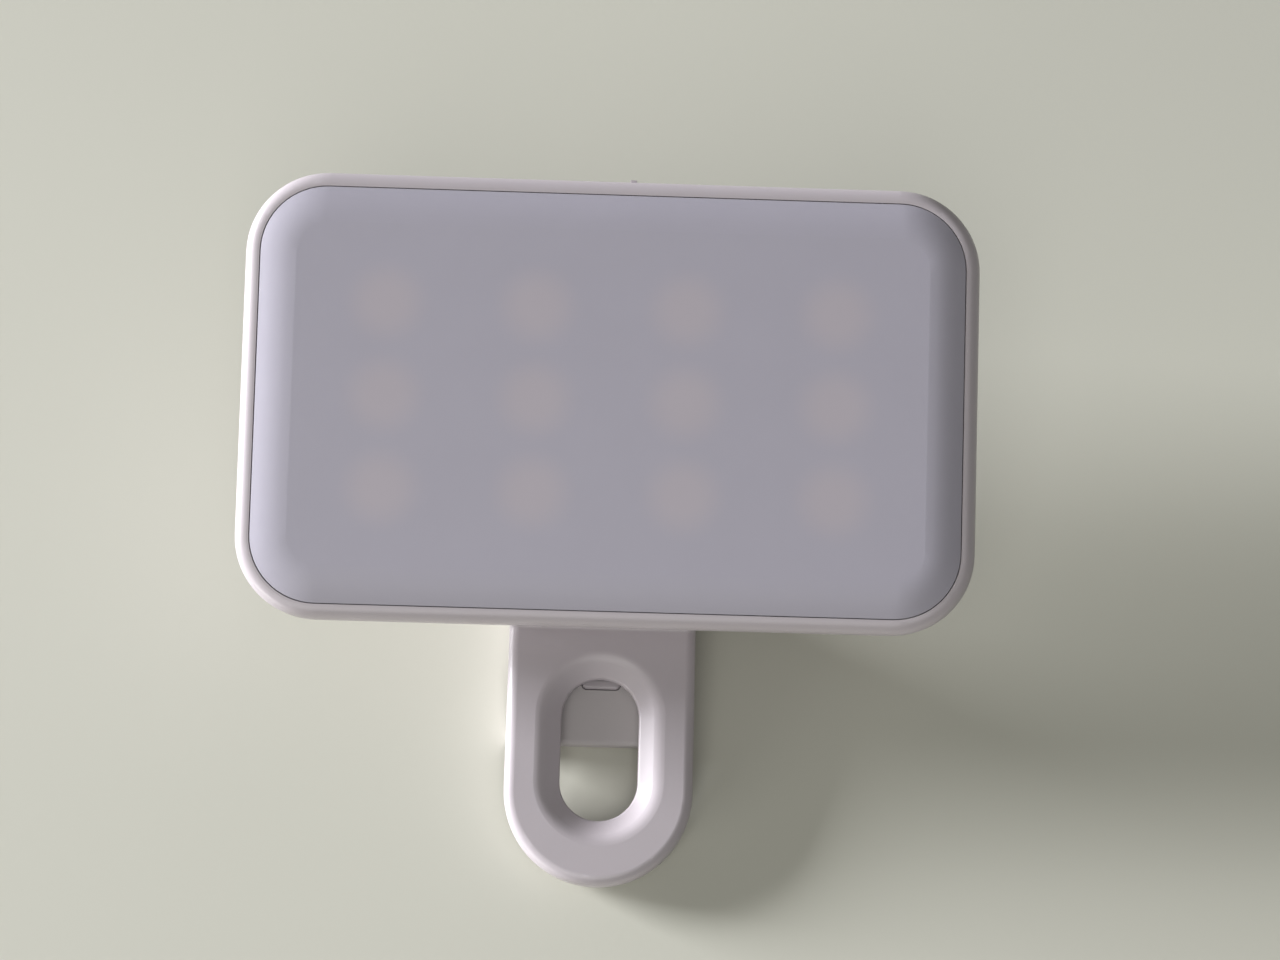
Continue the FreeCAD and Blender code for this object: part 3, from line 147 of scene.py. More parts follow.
@dataclass(frozen=True)
class Finish:
    """A finish on one principled shader; what is even over the surface sits on the shader's own sockets."""

    name: str
    colour: str
    roughness: float
    ior: float = 1.5
    metallic: float = 0.0
    grain: float = 0.5 * MM
    grain_depth: float = 0.003 * MM
    grain_lie: Grain = Grain.EVEN
    mottle: float = 9.0 * MM
    mottle_share: float = 0.02

    def make(self) -> bpy.types.Material:
        """Makes the material.

        Returns:
            The material, ready for a piece.
        """
        material = bpy.data.materials.new(self.name)
        material.use_nodes = True
        tree = material.node_tree
        tree.nodes.clear()
        shader = add_node(tree, "BsdfPrincipled", {
            "Base Color": linear(self.colour), "Roughness": self.roughness, "Metallic": self.metallic,
            "IOR": self.ior,
        })
        add_node(tree, "OutputMaterial", links={"Surface": shader.outputs["BSDF"]})
        place = add_node(tree, "TexCoord").outputs["Object"]
        self.body(shader)
        colour = self.tone(tree, shader, place)
        tree.links.new(self.marks_and_painted_light(tree, place, colour), shader.inputs["Base Color"])
        self.relief(tree, shader, place)
        return material

    def body(self, shader: Node) -> None:
        """Sets what lies under the surface, such as milkiness, on the shader's own sockets."""

    def marks_and_painted_light(self, tree: Tree, place: Socket, colour: Socket) -> Socket:
        """Leaves the colour as it is, where a finish has no marks and no painted light of its own."""
        return colour

    def tone(self, tree: Tree, shader: Node, place: Socket) -> Socket:
        """Lets the colour and the gloss drift a little over the surface.

        Args:
            tree: The material's nodes.
            shader: Its principled shader.
            place: The point on the piece, in metres.

        Returns:
            The colour's socket.
        """
        cloud = add_node(tree, "TexNoise", {"Scale": 1 / self.mottle, "Detail": 3.0}, {"Vector": place})
        base = linear(self.colour)
        light, dim = (tuple(min(1.0, c * (1 + side * self.mottle_share)) for c in base[:3]) + (1.0,)
                      for side in (1, -1))
        mix = add_node(tree, "Mix", {6: dim, 7: light}, {0: cloud.outputs["Fac"]}, data_type="RGBA")
        gloss = add_node(tree, "MapRange", {"To Min": self.roughness * 0.9, "To Max": self.roughness * 1.1},
                         {"Value": cloud.outputs["Fac"]})
        tree.links.new(gloss.outputs["Result"], shader.inputs["Roughness"])
        return mix.outputs[2]

    def relief(self, tree: Tree, shader: Node, place: Socket) -> None:
        """Raises the fine grain that the mould, the die or the brush left.

        Args:
            tree: The material's nodes.
            shader: Its principled shader.
            place: The point on the piece, in metres.
        """
        laid = add_node(tree, "Mapping", {"Scale": self.grain_lie.value}, {"Vector": place})
        grain = add_node(tree, "TexNoise", {"Scale": 1 / self.grain, "Detail": 2.0},
                         {"Vector": laid.outputs["Vector"]})
        bump = add_node(tree, "Bump", {"Strength": 1.0, "Distance": self.grain_depth},
                        {"Height": grain.outputs["Fac"]})
        tree.links.new(bump.outputs["Normal"], shader.inputs["Normal"])


@dataclass(frozen=True)
class MouldedAbs(Finish):
    """Injection-moulded white ABS: slightly milky, so edges glow a little, under a satin skin."""

    milkiness: float = 0.12
    depth: float = 0.8 * MM
    edge: float = 0.12 * MM
    sink: float = 14 * MM
    sink_depth: float = 0.03 * MM

    def body(self, shader: Node) -> None:
        """Lets a little light into the plastic and blurs it there.

        Args:
            shader: The material's principled shader.
        """
        shader.inputs["Subsurface Weight"].default_value = self.milkiness
        shader.inputs["Subsurface Radius"].default_value = (1.0, 0.9, 0.85)
        shader.inputs["Subsurface Scale"].default_value = self.depth

    def relief(self, tree: Tree, shader: Node, place: Socket) -> None:
        """Breaks the moulded edges and adds the satin skin and the faint sink of thick places.

        Args:
            tree: The material's nodes.
            shader: Its principled shader.
            place: The point on the piece, in metres.
        """
        edge = add_node(tree, "Bevel", {"Radius": self.edge}, samples=4)
        sink = add_node(tree, "TexNoise", {"Scale": 1 / self.sink, "Detail": 1.0}, {"Vector": place})
        wave = add_node(tree, "Bump", {"Strength": 1.0, "Distance": self.sink_depth},
                        {"Height": sink.outputs["Fac"], "Normal": edge.outputs["Normal"]})
        skin = add_node(tree, "TexNoise", {"Scale": 1 / self.grain, "Detail": 2.0}, {"Vector": place})
        bump = add_node(tree, "Bump", {"Strength": 1.0, "Distance": self.grain_depth},
                        {"Height": skin.outputs["Fac"], "Normal": wave.outputs["Normal"]})
        tree.links.new(bump.outputs["Normal"], shader.inputs["Normal"])


@dataclass(frozen=True)
class LightGrid:
    """The grid of light sources, in the head's frame."""

    columns: int = 4
    rows: int = 3
    pitch_across: float = 20.5 * MM
    pitch_along: float = 12.7 * MM

    def near(self, tree: Tree, place: Socket) -> Socket:
        """Works out how far a point is from the nearest light source.

        Args:
            tree: The material's nodes.
            place: The point on the piece, in metres.

        Returns:
            The distance in metres; far outside the grid it is large.
        """
        frame_at = HeadFrame().matrix()
        local = add_node(tree, "Mapping", {
            "Location": frame_at.translation, "Rotation": (HeadFrame().tilt, 0, 0),
        }, {"Vector": place}, vector_type="TEXTURE")
        parts = add_node(tree, "SeparateXYZ", links={"Vector": local.outputs["Vector"]})
        squares, outside = [], []
        axes = (("X", self.pitch_across, self.columns), ("Y", self.pitch_along, self.rows))
        for axis, pitch, count in axes:
            shift = 0.5 * (count % 2)
            steps = add_node(tree, "Math", {1: 1 / pitch, 2: shift}, {0: parts.outputs[axis]},
                             operation="MULTIPLY_ADD")
            part = add_node(tree, "Math", links={0: steps.outputs[0]}, operation="FRACT")
            offset = add_node(tree, "Math", {1: pitch, 2: -0.5 * pitch}, {0: part.outputs[0]},
                              operation="MULTIPLY_ADD")
            squares.append(add_node(tree, "Math", {1: 2.0}, {0: offset.outputs[0]}, operation="POWER"))
            size = add_node(tree, "Math", links={0: parts.outputs[axis]}, operation="ABSOLUTE")
            outside.append(add_node(tree, "Math", {1: count * pitch / 2}, {0: size.outputs[0]},
                                    operation="GREATER_THAN"))
        total = add_node(tree, "Math", links={0: squares[0].outputs[0], 1: squares[1].outputs[0]},
                         operation="ADD")
        distance = add_node(tree, "Math", {1: 0.5}, {0: total.outputs[0]}, operation="POWER")
        beyond = add_node(tree, "Math", links={0: outside[0].outputs[0], 1: outside[1].outputs[0]},
                          operation="ADD")
        return add_node(tree, "Math", {1: 1.0}, {0: beyond.outputs[0], 2: distance.outputs[0]},
                        operation="MULTIPLY_ADD").outputs[0]


@dataclass(frozen=True)
class OpalAcrylic(Finish):
    """Moulded opal acrylic: milky right through, with the light sources behind it drawn as faint warm spots of
    painted light.
    """

    # The painted light over each source: its colour, how far it reaches and how strong it is.
    painted_light_colour: str = "#CFBFBC"
    painted_light_radius: float = 6.8 * MM
    painted_light_share: float = 0.24
    milkiness: float = 0.25
    depth: float = 1.2 * MM
    grid: LightGrid = LightGrid()

    def body(self, shader: Node) -> None:
        """Lets light wander under the satin skin.

        Args:
            shader: The material's principled shader.
        """
        shader.inputs["Subsurface Weight"].default_value = self.milkiness
        shader.inputs["Subsurface Radius"].default_value = (1.0, 1.0, 1.1)
        shader.inputs["Subsurface Scale"].default_value = self.depth

    def marks_and_painted_light(self, tree: Tree, place: Socket, colour: Socket) -> Socket:
        """Paints faint warm light over each light source behind the milk, in place of the light that would come
        back through it off the source.

        Args:
            tree: The material's nodes.
            place: The point on the piece, in metres.
            colour: The plain opal's colour.

        Returns:
            The colour with its painted light.
        """
        # Painted light: the milk is made lighter and warmer over each source, standing in for light that passes
        # the window and comes back off the source.
        painted_light_falloff = add_node(tree, "MapRange", {"From Min": self.painted_light_radius, "From Max": 0.25 * self.painted_light_radius,
                                           "To Max": self.painted_light_share},
                        {"Value": self.grid.near(tree, place)}, interpolation_type="SMOOTHSTEP")
        return add_node(tree, "Mix", {7: linear(self.painted_light_colour)},
                        {0: painted_light_falloff.outputs["Result"], 6: colour}, data_type="RGBA").outputs[2]


@dataclass(frozen=True)
class LedPackage(Finish):
    """A light source's white case, with the yellow gel of its dish in the middle."""

    gel_colour: str = "#F0C948"
    dish_radius: float = 1.1 * MM
    grid: LightGrid = LightGrid()

    def marks_and_painted_light(self, tree: Tree, place: Socket, colour: Socket) -> Socket:
        """Fills the dish of each package with gel.

        Args:
            tree: The material's nodes.
            place: The point on the piece, in metres.
            colour: The colour without the marks.

        Returns:
            The colour with them.
        """
        dish = add_node(tree, "Math", {1: self.dish_radius}, {0: self.grid.near(tree, place)},
                        operation="LESS_THAN")
        return add_node(tree, "Mix", {7: linear(self.gel_colour)}, {0: dish.outputs[0], 6: colour},
                        data_type="RGBA").outputs[2]


@dataclass(frozen=True)
class SolderMask(Finish):
    """Printed solder mask over copper: a glossy coat with the tracks as a faint lighter pattern."""

    track_colour: str = "#3F7F52"
    track_pitch: float = 1.27 * MM

    def marks_and_painted_light(self, tree: Tree, place: Socket, colour: Socket) -> Socket:
        """Lays the copper tracks under the mask.

        Args:
            tree: The material's nodes.
            place: The point on the piece, in metres.
            colour: The colour without the marks.

        Returns:
            The colour with them.
        """
        tracks = add_node(tree, "TexBrick", {
            "Scale": 1.0, "Mortar Size": 0.12 * self.track_pitch, "Brick Width": 7 * self.track_pitch,
            "Row Height": self.track_pitch, "Mortar Smooth": 0.2,
        }, {"Vector": place})
        return add_node(tree, "Mix", {7: linear(self.track_colour)}, {0: tracks.outputs["Fac"], 6: colour},
                        data_type="RGBA").outputs[2]


@dataclass(frozen=True)
class LaminatedFoil(Finish):
    """Heat-sealed aluminium laminate: soft silver, with shallow crinkles from the sealing."""

    crinkle: float = 2.5 * MM
    crinkle_depth: float = 0.05 * MM
    crinkle_share: float = 0.6

    def relief(self, tree: Tree, shader: Node, place: Socket) -> None:
        """Crinkles the foil.

        Args:
            tree: The material's nodes.
            shader: Its principled shader.
            place: The point on the piece, in metres.
        """
        cells = add_node(tree, "TexVoronoi", {"Scale": 1 / self.crinkle}, {"Vector": place},
                         feature="SMOOTH_F1")
        bump = add_node(tree, "Bump", {"Strength": self.crinkle_share, "Distance": self.crinkle_depth},
                        {"Height": cells.outputs["Distance"]})
        tree.links.new(bump.outputs["Normal"], shader.inputs["Normal"])


@dataclass(frozen=True)
class ClearPlastic(Finish):
    """Clear moulded polycarbonate with a frosted end."""

    def body(self, shader: Node) -> None:
        """Lets light through."""
        shader.inputs["Transmission Weight"].default_value = 0.9


# Typical IOR: ABS 1.53, acrylic 1.49, silicone 1.41, nylon 1.53, polycarbonate 1.58, mask 1.5.
# Real grain is under 0.1 mm; it is drawn several times coarser here, so that it shows.
# White ABS from a polished mould: broad soft highlights along the rolled edges.
ABS = MouldedAbs("moulded_white_abs", "#BDB6BB", 0.34, 1.53)
# White ABS from a spark-eroded mould: an even fine grain that scatters the highlights.
GRAINED_ABS = MouldedAbs("spark_grained_white_abs", "#BBB4B9", 0.48, 1.53, grain=0.45 * MM,
                         grain_depth=0.012 * MM)
# Opal acrylic, satin from the mould: a cool milky face with a slow falloff and no clear reflection.
OPAL = OpalAcrylic("moulded_opal_acrylic", "#B0ADB9", 0.42, 1.49, grain=0.35 * MM, grain_depth=0.002 * MM)
# Silicone rubber from a matt mould: dull and soft, with almost no highlight.
SILICONE = Finish("moulded_white_silicone", "#C4BFC0", 0.62, 1.41, grain=0.3 * MM, grain_depth=0.006 * MM)
# Spring steel drawn through a die: dark bright lines along the wire.
SPRING_WIRE = Finish("drawn_spring_steel", "#8F8E8C", 0.3, metallic=1.0, grain=0.12 * MM,
                     grain_depth=0.004 * MM)
# Bright zinc plating on small screws: cool and clean, a little uneven.
ZINC = Finish("zinc_plated_steel", "#B4B6BA", 0.28, metallic=1.0, grain=0.2 * MM, grain_depth=0.003 * MM)
# Steel ground round: fine rings across the pin that stretch its highlight.
PIN_STEEL = Finish("ground_steel", "#A6A6A6", 0.22, metallic=1.0, grain=0.15 * MM, grain_depth=0.002 * MM,
                   grain_lie=Grain.DRAWN_ACROSS)
# Nickel over drawn sheet: warm and bright, with faint lines along the draw.
NICKEL = Finish("nickel_plated_steel", "#B9B4A8", 0.2, metallic=1.0, grain=0.2 * MM, grain_depth=0.002 * MM,
                grain_lie=Grain.BRUSHED_ALONG)
# Gold flash on stamped contacts: warm bright strips.
GOLD = Finish("gold_plated_contact", "#D9B25A", 0.22, metallic=1.0, grain=0.1 * MM, grain_depth=0.001 * MM)
# White printed mask over copper: glossy, with the tracks as a faint relief of tone.
WHITE_MASK = SolderMask("white_solder_mask", "#E4E3DC", 0.3, track_colour="#D3D0C4")
# Green printed mask over copper: deep green and glossy, with lighter tracks.
GREEN_MASK = SolderMask("green_solder_mask", "#1E5A35", 0.28)
# Moulded white case with a yellow gel in its dish: each source reads as a yellow dot.
LED_CASE = LedPackage("moulded_led_package", "#E9E6DC", 0.4)
# Aluminium laminate, heat sealed: soft silver with shallow crinkles.
FOIL = LaminatedFoil("laminated_aluminium_foil", "#A9ABAD", 0.38, metallic=0.9)
# Foam with cut pores: a dead black that shows no highlight.
FOAM = Finish("black_foam_tape", "#262626", 0.9, grain=0.25 * MM, grain_depth=0.06 * MM)
# PVC drawn over the wire: a saturated red and a soft black, with lines along the lead.
RED_PVC = Finish("extruded_red_pvc", "#A81C18", 0.42, 1.53, grain_lie=Grain.BRUSHED_ALONG)
BLACK_PVC = Finish("extruded_black_pvc", "#191919", 0.42, 1.53, grain_lie=Grain.BRUSHED_ALONG)
# Nylon from a finely eroded mould: satin black.
NYLON = Finish("moulded_black_nylon", "#1C1C1D", 0.45, 1.53, grain=0.2 * MM, grain_depth=0.008 * MM)
# Clear polycarbonate from a polished mould: bright, with what is behind it showing through.
CLEAR = ClearPlastic("moulded_clear_polycarbonate", "#E6E9EA", 0.18, 1.58)
# Pressed laminate: a pale warm top with a very fine orange-peel and a soft sheen.
LAMINATE = Finish("white_table_laminate", "#CFCFC3", 0.5, 1.5, grain=0.9 * MM, grain_depth=0.008 * MM,
                  mottle=160 * MM, mottle_share=0.012)


class Workshop:
    """Makes each material once and puts it on pieces."""

    def __init__(self) -> None:
        """Starts with no material made."""
        self.made: dict[str, bpy.types.Material] = {}

    def dress(self, piece: bpy.types.Object, finish: Finish) -> None:
        """Puts a finish on the whole of a piece.

        Args:
            piece: The mesh object.
            finish: What it is made of.
        """
        if finish.name not in self.made:
            self.made[finish.name] = finish.make()
        piece.data.materials.clear()
        piece.data.materials.append(self.made[finish.name])
        LOG.info("%s: %s", piece.name, finish.name)

    def dress_nodes(self, names: list[str], finish: Finish) -> None:
        """Puts one finish on several of the frame's nodes."""
        for name in names:
            self.dress(frame["nodes"][name], finish)


# Mesh helpers

def new_piece(name: str, mesh: bmesh.types.BMesh, place: Matrix, body: str,
              smooth: float = DEFAULT_CORNER) -> bpy.types.Object:
    """Turns mesh data into a piece that rides on a body.

    Args:
        name: The piece's name.
        mesh: Its shape, in its own frame.
        place: Where that frame stands.
        body: The body that it moves with.
        smooth: Faces that meet at less than this many degrees are shaded as one.

    Returns:
        The piece.
    """
    data = bpy.data.meshes.new(name)
    mesh.transform(place)
    bmesh.ops.recalc_face_normals(mesh, faces=mesh.faces)
    mesh.to_mesh(data)
    mesh.free()
    data.shade_smooth()
    data.set_sharp_from_angle(angle=math.radians(smooth))
    piece = bpy.data.objects.new(name, data)
    bpy.context.scene.collection.objects.link(piece)
    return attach(piece, body)


def tube(mesh: bmesh.types.BMesh, points: list[Vector], radius: float, sides: int = 16) -> None:
    """Sweeps a round wire along points, with domed ends.

    Args:
        mesh: The mesh that gets the wire.
        points: Its centre line.
        radius: The wire's radius.
        sides: Corners of its section.
    """
    last = len(points) - 1
    steps = [(points[min(i + 1, last)] - points[max(i - 1, 0)]).normalized() for i in range(last + 1)]
    side = steps[0].orthogonal().normalized()
    rings = []
    stations = [(points[0] - steps[0] * radius * DOME_REACH, steps[0], DOME_SIZE * radius)]
    stations += [(point, step, radius) for point, step in zip(points, steps)]
    stations.append((points[-1] + steps[-1] * radius * DOME_REACH, steps[-1], DOME_SIZE * radius))
    for point, step, size in stations:
        side = (side - step * side.dot(step)).normalized()
        up = step.cross(side)
        turn = [2 * math.pi * k / sides for k in range(sides)]
        rings.append([mesh.verts.new(point + size * (math.cos(a) * side + math.sin(a) * up)) for a in turn])
    for low, high in zip(rings, rings[1:]):
        for k in range(sides):
            mesh.faces.new((low[k], low[(k + 1) % sides], high[(k + 1) % sides], high[k]))
    mesh.faces.new(rings[0])
    mesh.faces.new(rings[-1])


def lathe(mesh: bmesh.types.BMesh, profile: Callable[[int, float], tuple[float, float]], rows: int,
          sides: int = 40) -> None:
    """Turns a profile about Z and closes its ends.

    Args:
        mesh: The mesh that gets the turned shape.
        profile: Gives a row's radius and level, from its number and the angle in radians.
        rows: How many rows the profile has.
        sides: How many steps go round.
    """
    rings = []
    for row in range(rows):
        ring = []
        for k in range(sides):
            angle = 2 * math.pi * k / sides
            radius, level = profile(row, angle)
            ring.append(mesh.verts.new((radius * math.cos(angle), radius * math.sin(angle), level)))
        rings.append(ring)
    for low, high in zip(rings, rings[1:]):
        for k in range(sides):
            mesh.faces.new((low[k], low[(k + 1) % sides], high[(k + 1) % sides], high[k]))
    mesh.faces.new(rings[0])
    mesh.faces.new(rings[-1])


def head_box(node: str) -> tuple[Vector, Vector]:
    """Finds the lowest and the highest corner of a node in the head's frame.

    Args:
        node: The node's name.

    Returns:
        Both corners.
    """
    turn_back = HeadFrame().matrix().inverted()
    corners = [turn_back @ vertex.co for vertex in frame["nodes"][node].data.vertices]
    low, high = (Vector(pick(corner[i] for corner in corners) for i in range(3)) for pick in (min, max))
    return low, high


# Sub-assemblies

@dataclass
class LightHead:
    """The flat head: rim, window and back shell."""

    workshop: Workshop

    def dress(self) -> None:
        """Finishes the shells and the window."""
        self.workshop.dress_nodes(["front_bezel"], ABS)
        self.workshop.dress_nodes(["rear_cover"], GRAINED_ABS)
        self.workshop.dress_nodes(["diffuser"], OPAL)


@dataclass
class LightEngine:
    """The board of light sources behind the window."""

    workshop: Workshop

    def dress(self) -> None:
        """Finishes the board and its twelve sources."""
        self.workshop.dress_nodes(["led_board"], WHITE_MASK)
        sources = sorted(name for name in frame["nodes"] if name.startswith("led_r"))
        self.workshop.dress_nodes(sources, LED_CASE)


@dataclass
class PowerPack:
    """The cell with its tape and leads, and the control board."""

    workshop: Workshop

    def dress(self) -> None:
        """Finishes the cell, the leads and the board's parts."""
        self.workshop.dress_nodes(["battery"], FOIL)
        self.workshop.dress_nodes(["battery_tape"], FOAM)
        self.workshop.dress_nodes(["battery_lead_red"], RED_PVC)
        self.workshop.dress_nodes(["battery_lead_black"], BLACK_PVC)
        self.workshop.dress_nodes(["control_board"], GREEN_MASK)
        self.workshop.dress_nodes(["link_header", "tactile_switch"], NYLON)


@dataclass
class Controls:
    """What shows in the head's top wall: the charging port, the button and the indicator."""

    workshop: Workshop
    contacts: int = 12
    contact_pitch: float = 0.5 * MM
    contact_width: float = 0.27 * MM
    contact_length: float = 2.6 * MM
    contact_height: float = 0.05 * MM
    skin: float = 0.02 * MM
    contact_inset: float = 0.3 * MM
    contact_edge: float = 0.015 * MM

    def dress(self) -> None:
        """Finishes the port, the button and the indicator."""
        self.workshop.dress_nodes(["power_button"], ABS)
        self.workshop.dress_nodes(["usb_shell"], NICKEL)
        self.workshop.dress_nodes(["usb_tongue"], NYLON)
        self.workshop.dress_nodes(["indicator_window"], CLEAR)
        self.workshop.dress_nodes(["indicator_led"], LED_CASE)

    def build(self) -> None:
        """Lays the gold contacts on both faces of the port's tongue."""
        low, high = head_box("usb_tongue")
        mesh = bmesh.new()
        for number in range(self.contacts):
            across = (low.x + high.x) / 2 + (number - (self.contacts - 1) / 2) * self.contact_pitch
            for level, out in ((high.z, 1), (low.z, -1)):
                size = (self.contact_width, self.contact_length, self.contact_height)
                along = high.y - self.contact_inset - self.contact_length / 2
                at = (across, along, level + out * (self.contact_height / 2 - self.skin))
                spot = Matrix.Translation(at) @ Matrix.Diagonal((*size, 1))
                bmesh.ops.create_cube(mesh, size=1, matrix=spot)
        bmesh.ops.bevel(mesh, geom=list(mesh.edges), offset=self.contact_edge, segments=1, affect="EDGES")
        piece = new_piece("usb_contacts", mesh, HeadFrame().matrix(), HEAD_BODY)
        self.workshop.dress(piece, GOLD)


@dataclass
class SprungClip:
    """The clip: two jaws, their pads and the pin."""

    workshop: Workshop

    def dress(self) -> None:
        """Finishes the jaws, the pads and the pin."""
        self.workshop.dress_nodes(["front_jaw", "rear_jaw"], ABS)
        self.workshop.dress_nodes(["front_pad", "rear_pad"], SILICONE)
        self.workshop.dress_nodes(["hinge_pin"], PIN_STEEL)


@dataclass
class TorsionSpring:
    """The coil about the pin: it stays with the plate, while its rear leg follows the lever."""

    workshop: Workshop
    coil_radius: float = 2.0 * MM
    wire_radius: float = 0.4 * MM
    coil_gap: float = 0.1 * MM
    whole_turns: int = 5
    leg_reach: float = 13.0 * MM
    plate_level: float = 3.6 * MM
    lever_level: float = 3.2 * MM
    steps_per_turn: int = 40

    def leg_angle(self, level: float) -> float:
        """Works out the angle of a leg that leaves the coil and meets a plate at the leg's reach.

        Args:
            level: How far that plate's face is from the pin's axis.

        Returns:
            The angle in radians, in the clip's frame.
        """
        height = level - self.wire_radius
        span = math.hypot(self.leg_reach, height)
        return math.atan2(height, self.leg_reach) - math.asin(self.coil_radius / span) + ClipFrame().lean

    def build(self) -> None:
        """Builds the coil with its front leg, and the rear leg by itself."""
        place = ClipFrame().matrix()
        front, rear = self.leg_angle(self.plate_level), self.leg_angle(self.lever_level)
        first = math.pi / 2 + front
        last = 3 * math.pi / 2 - rear + 2 * math.pi * self.whole_turns
        pitch = 2 * self.wire_radius + self.coil_gap
        width = pitch * (last - first) / (2 * math.pi)
        count = round(self.steps_per_turn * (last - first) / (2 * math.pi))
        coil = []
        for step in range(count + 1):
            share = step / count
            angle = first + share * (last - first)
            coil.append(Vector((width * (share - 0.5), self.coil_radius * math.cos(angle),
                                self.coil_radius * math.sin(angle))))
        start = coil[0] + self.leg_reach / math.cos(front) * Vector((0, math.cos(front), math.sin(front)))
        end = coil[-1] + self.leg_reach / math.cos(rear) * Vector((0, math.cos(rear), -math.sin(rear)))
        for name, points, body in (("spring_coil", [start, *coil], HEAD_BODY),
                                   ("spring_rear_leg", [coil[-1], end], CLIP_BODY)):
            mesh = bmesh.new()
            tube(mesh, points, self.wire_radius)
            piece = new_piece(name, mesh, place, body)
            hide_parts("torsion_spring")
            self.workshop.dress(piece, SPRING_WIRE)


@dataclass
class Screws:
    """The small screws: flat round heads with a cross recess, and a cut thread."""

    workshop: Workshop
    radius: float = 0.9 * MM
    head_radius: float = 1.75 * MM
    head_height: float = 1.3 * MM
    head_edge: float = 0.3 * MM
    pitch: float = 0.6 * MM
    thread_depth: float = 0.16 * MM
    recess_width: float = 0.42 * MM
    recess_reach: float = 0.95 * MM
    recess_depth: float = 0.75 * MM
    rows_per_turn: int = 8

    def body_mesh(self, length: float) -> bmesh.types.BMesh:
        """Turns one screw with its head's top at level 0 and its tip below.

        Args:
            length: The whole length, head included.

        Returns:
            The mesh.
        """
        head = [(self.head_radius * 0.4, 0.0), (self.head_radius - self.head_edge, 0.0),
                (self.head_radius - 0.3 * self.head_edge, -0.3 * self.head_edge),
                (self.head_radius, -self.head_edge), (self.head_radius, -self.head_height)]
        shank = length - self.head_height
        turns = shank / self.pitch
        thread_rows = round(turns * self.rows_per_turn)

        def profile(row: int, angle: float) -> tuple[float, float]:
            """Gives the head's outline first, then the thread's.

            Args:
                row: The row's number from the head's top.
                angle: The angle round the screw, in radians.

            Returns:
                The radius and the level.
            """
            if row < len(head):
                return head[row]
            share = (row - len(head)) / thread_rows
            phase = (share * turns + angle / (2 * math.pi)) % 1
            crest = self.radius - self.thread_depth * abs(2 * phase - 1)
            taper = min(1.0, 0.55 + 3 * (1 - share))
            return crest * taper, -self.head_height - share * shank

        mesh = bmesh.new()
        lathe(mesh, profile, len(head) + thread_rows + 1)
        return mesh

    def recess_mesh(self) -> bmesh.types.BMesh:
        """Makes the cross that the driver fits, narrower at its bottom."""
        mesh = bmesh.new()
        for size in ((self.recess_reach, self.recess_width / 2), (self.recess_width / 2, self.recess_reach)):
            made = bmesh.ops.create_cube(mesh, size=2)
            for vertex in made["verts"]:
                narrow = 0.55 if vertex.co.z < 0 else 1.05
                level = -self.recess_depth if vertex.co.z < 0 else 0.2 * MM
                vertex.co = Vector((vertex.co.x * size[0] * narrow, vertex.co.y * size[1] * narrow, level))
        return mesh

    def build_set(self, node: str, name: str, places: list[tuple[float, float]], top: float, length: float,
                  downwards: bool) -> None:
        """Builds a set of like screws in place of their node.

        Args:
            node: The frame's node that they replace.
            name: The new piece's name.
            places: Their places in the head's frame.
            top: The level of their heads' tops there.
            length: Their whole length.
            downwards: Whether the heads face out of the head's back.
        """
        one = bpy.data.objects.new("screw_blank", bpy.data.meshes.new("screw_blank"))
        self.body_mesh(length).to_mesh(one.data)
        cross = bpy.data.objects.new("driver_blank", bpy.data.meshes.new("driver_blank"))
        self.recess_mesh().to_mesh(cross.data)
        for blank in (one, cross):
            bpy.context.scene.collection.objects.link(blank)
        cut = one.modifiers.new("Recess", "BOOLEAN")
        cut.object, cut.operation, cut.solver, cut.use_self = cross, "DIFFERENCE", "EXACT", True
        bpy.context.view_layer.update()
        shape = bpy.data.meshes.new_from_object(one.evaluated_get(bpy.context.evaluated_depsgraph_get()))
        turn = Matrix.Rotation(math.pi, 4, "X") if downwards else Matrix.Identity(4)
        mesh = bmesh.new()
        for across, along in places:
            part = bmesh.new()
            part.from_mesh(shape)
            part.transform(Matrix.Translation((across, along, top)) @ turn)
            joined = bpy.data.meshes.new("screw_part")
            part.to_mesh(joined)
            part.free()
            mesh.from_mesh(joined)
            bpy.data.meshes.remove(joined)
        for blank in (one, cross):
            bpy.data.objects.remove(blank)
        piece = new_piece(name, mesh, HeadFrame().matrix(), HEAD_BODY, smooth=30.0)
        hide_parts(node)
        self.workshop.dress(piece, ZINC)

    def build(self) -> None:
        """Builds the board's screws and the clip's."""
        for node, name, downwards in (("board_screws", "board_screw_set", False),
                                      ("clip_screws", "clip_screw_set", True)):
            low, high = head_box(node)
            places = [(x, y) for x in (low.x + self.head_radius, high.x - self.head_radius)
                      for y in (low.y + self.head_radius, high.y - self.head_radius)]
            top = low.z if downwards else high.z
            self.build_set(node, name, places, top, high.z - low.z, downwards)


# Studio

@dataclass
class PhotoCamera:
    """The camera, as it stood for the photograph."""

    lens: float = 72.0
    sensor: float = 36.0
    distance: float = 357.8 * MM
    azimuth: float = math.radians(-3.01)
    elevation: float = math.radians(68.54)
    roll: float = math.radians(-4.49)
    aim: tuple[float, float, float] = (4.56 * MM, 7.66 * MM, 20.0 * MM)

    def build(self) -> None:
        """Stands the camera up and makes it the scene's own."""
        data = bpy.data.cameras.new("photo_camera")
        data.lens, data.sensor_width = self.lens, self.sensor
        data.clip_start, data.clip_end = 0.01, 20.0
        camera = bpy.data.objects.new("photo_camera", data)
        flat = math.cos(self.elevation)
        back = Vector((math.sin(self.azimuth) * flat, -math.cos(self.azimuth) * flat,
                       math.sin(self.elevation)))
        turn = back.to_track_quat("Z", "Y").to_matrix().to_4x4() @ Matrix.Rotation(-self.roll, 4, "Z")
        camera.matrix_world = Matrix.Translation(Vector(self.aim) + back * self.distance) @ turn
        bpy.context.scene.collection.objects.link(camera)
        bpy.context.scene.camera = camera
        LOG.info("camera: %.0f mm lens at %.0f mm", self.lens, self.distance / MM)


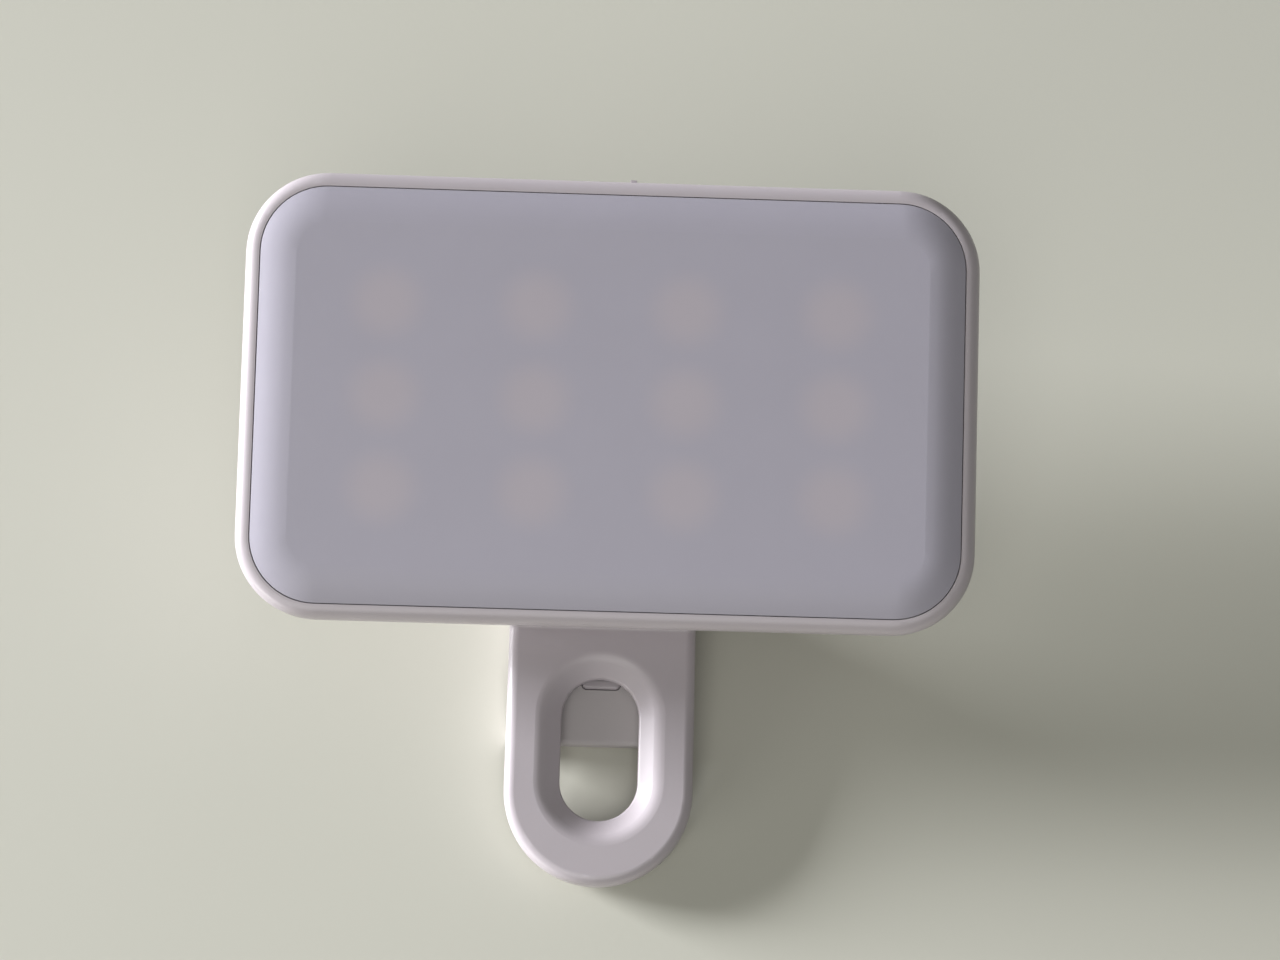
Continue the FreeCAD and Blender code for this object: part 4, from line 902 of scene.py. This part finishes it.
@dataclass(frozen=True)
class Lamp:
    """A soft rectangular lamp that faces the light."""

    name: str
    azimuth: float
    elevation: float
    distance: float
    width: float
    height: float
    power: float
    colour: str

    def build(self) -> None:
        """Hangs the lamp at its angles, in degrees round from the left and above the table."""
        azimuth, elevation = math.radians(self.azimuth), math.radians(self.elevation)
        flat = math.cos(elevation)
        towards = Vector((-math.cos(azimuth) * flat, math.sin(azimuth) * flat, math.sin(elevation)))
        data = bpy.data.lights.new(self.name, "AREA")
        data.shape, data.size, data.size_y = "RECTANGLE", self.width, self.height
        data.energy, data.color = self.power, linear(self.colour)[:3]
        lamp = bpy.data.objects.new(self.name, data)
        turn = towards.to_track_quat("Z", "Y").to_matrix().to_4x4()
        lamp.matrix_world = Matrix.Translation(towards * self.distance) @ turn
        bpy.context.scene.collection.objects.link(lamp)


@dataclass
class Studio:
    """The pale table, a low wide window far to the left, and soft lamps on the viewer's side."""

    workshop: Workshop
    table_size: float = 6.0
    lamps: tuple[Lamp, ...] = (
        Lamp("window", 15.5, 12.5, 3.0, 0.95, 0.85, 235.0, "#FBFBFF"),
        Lamp("room_lamp", -78.0, 55.0, 1.3, 0.8, 0.8, 4.2, "#FFFDF8"),
        Lamp("low_lamp", -45.0, 8.0, 2.0, 0.9, 0.3, 12.0, "#FFFDF8"),
    )
    room_colour: str = "#D9DAD6"
    room_strength: float = 0.2

    def build(self) -> None:
        """Lays the table, hangs the lamps and sets the room's light."""
        scene = bpy.context.scene
        scene.view_settings.view_transform = "Standard"
        mesh = bpy.data.meshes.new("table_top")
        flat = bmesh.new()
        bmesh.ops.create_grid(flat, x_segments=2, y_segments=2, size=self.table_size / 2)
        flat.to_mesh(mesh)
        flat.free()
        table = bpy.data.objects.new("table_top", mesh)
        scene.collection.objects.link(table)
        self.workshop.dress(table, LAMINATE)
        for lamp in self.lamps:
            lamp.build()
        self.room()

    def room(self) -> None:
        """Gives the room its even light, and a pale background to the camera and to glass."""
        world = bpy.data.worlds.new("room")
        bpy.context.scene.world = world
        world.use_nodes = True
        tree = world.node_tree
        tree.nodes.clear()
        ray = add_node(tree, "LightPath")
        seen = add_node(tree, "Math", links={
            0: ray.outputs["Is Camera Ray"], 1: ray.outputs["Is Transmission Ray"],
        }, operation="MAXIMUM")
        colour = linear(self.room_colour)
        dim = add_node(tree, "Background", {"Color": colour, "Strength": self.room_strength})
        pale = add_node(tree, "Background", {"Color": colour, "Strength": 1.0})
        both = add_node(tree, "MixShader", links={0: seen.outputs[0], 1: dim.outputs[0], 2: pale.outputs[0]})
        add_node(tree, "OutputWorld", links={"Surface": both.outputs[0]})


def main() -> None:
    """Dresses the frame, builds the fine pieces and sets up the studio."""
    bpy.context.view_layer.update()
    workshop = Workshop()
    PhotoCamera().build()
    LightHead(workshop).dress()
    LightEngine(workshop).dress()
    PowerPack(workshop).dress()
    controls = Controls(workshop)
    controls.dress()
    controls.build()
    SprungClip(workshop).dress()
    TorsionSpring(workshop).build()
    Screws(workshop).build()
    Studio(workshop).build()


if __name__ == "__main__":
    logging.basicConfig(level=logging.INFO, format="%(message)s")
    main()
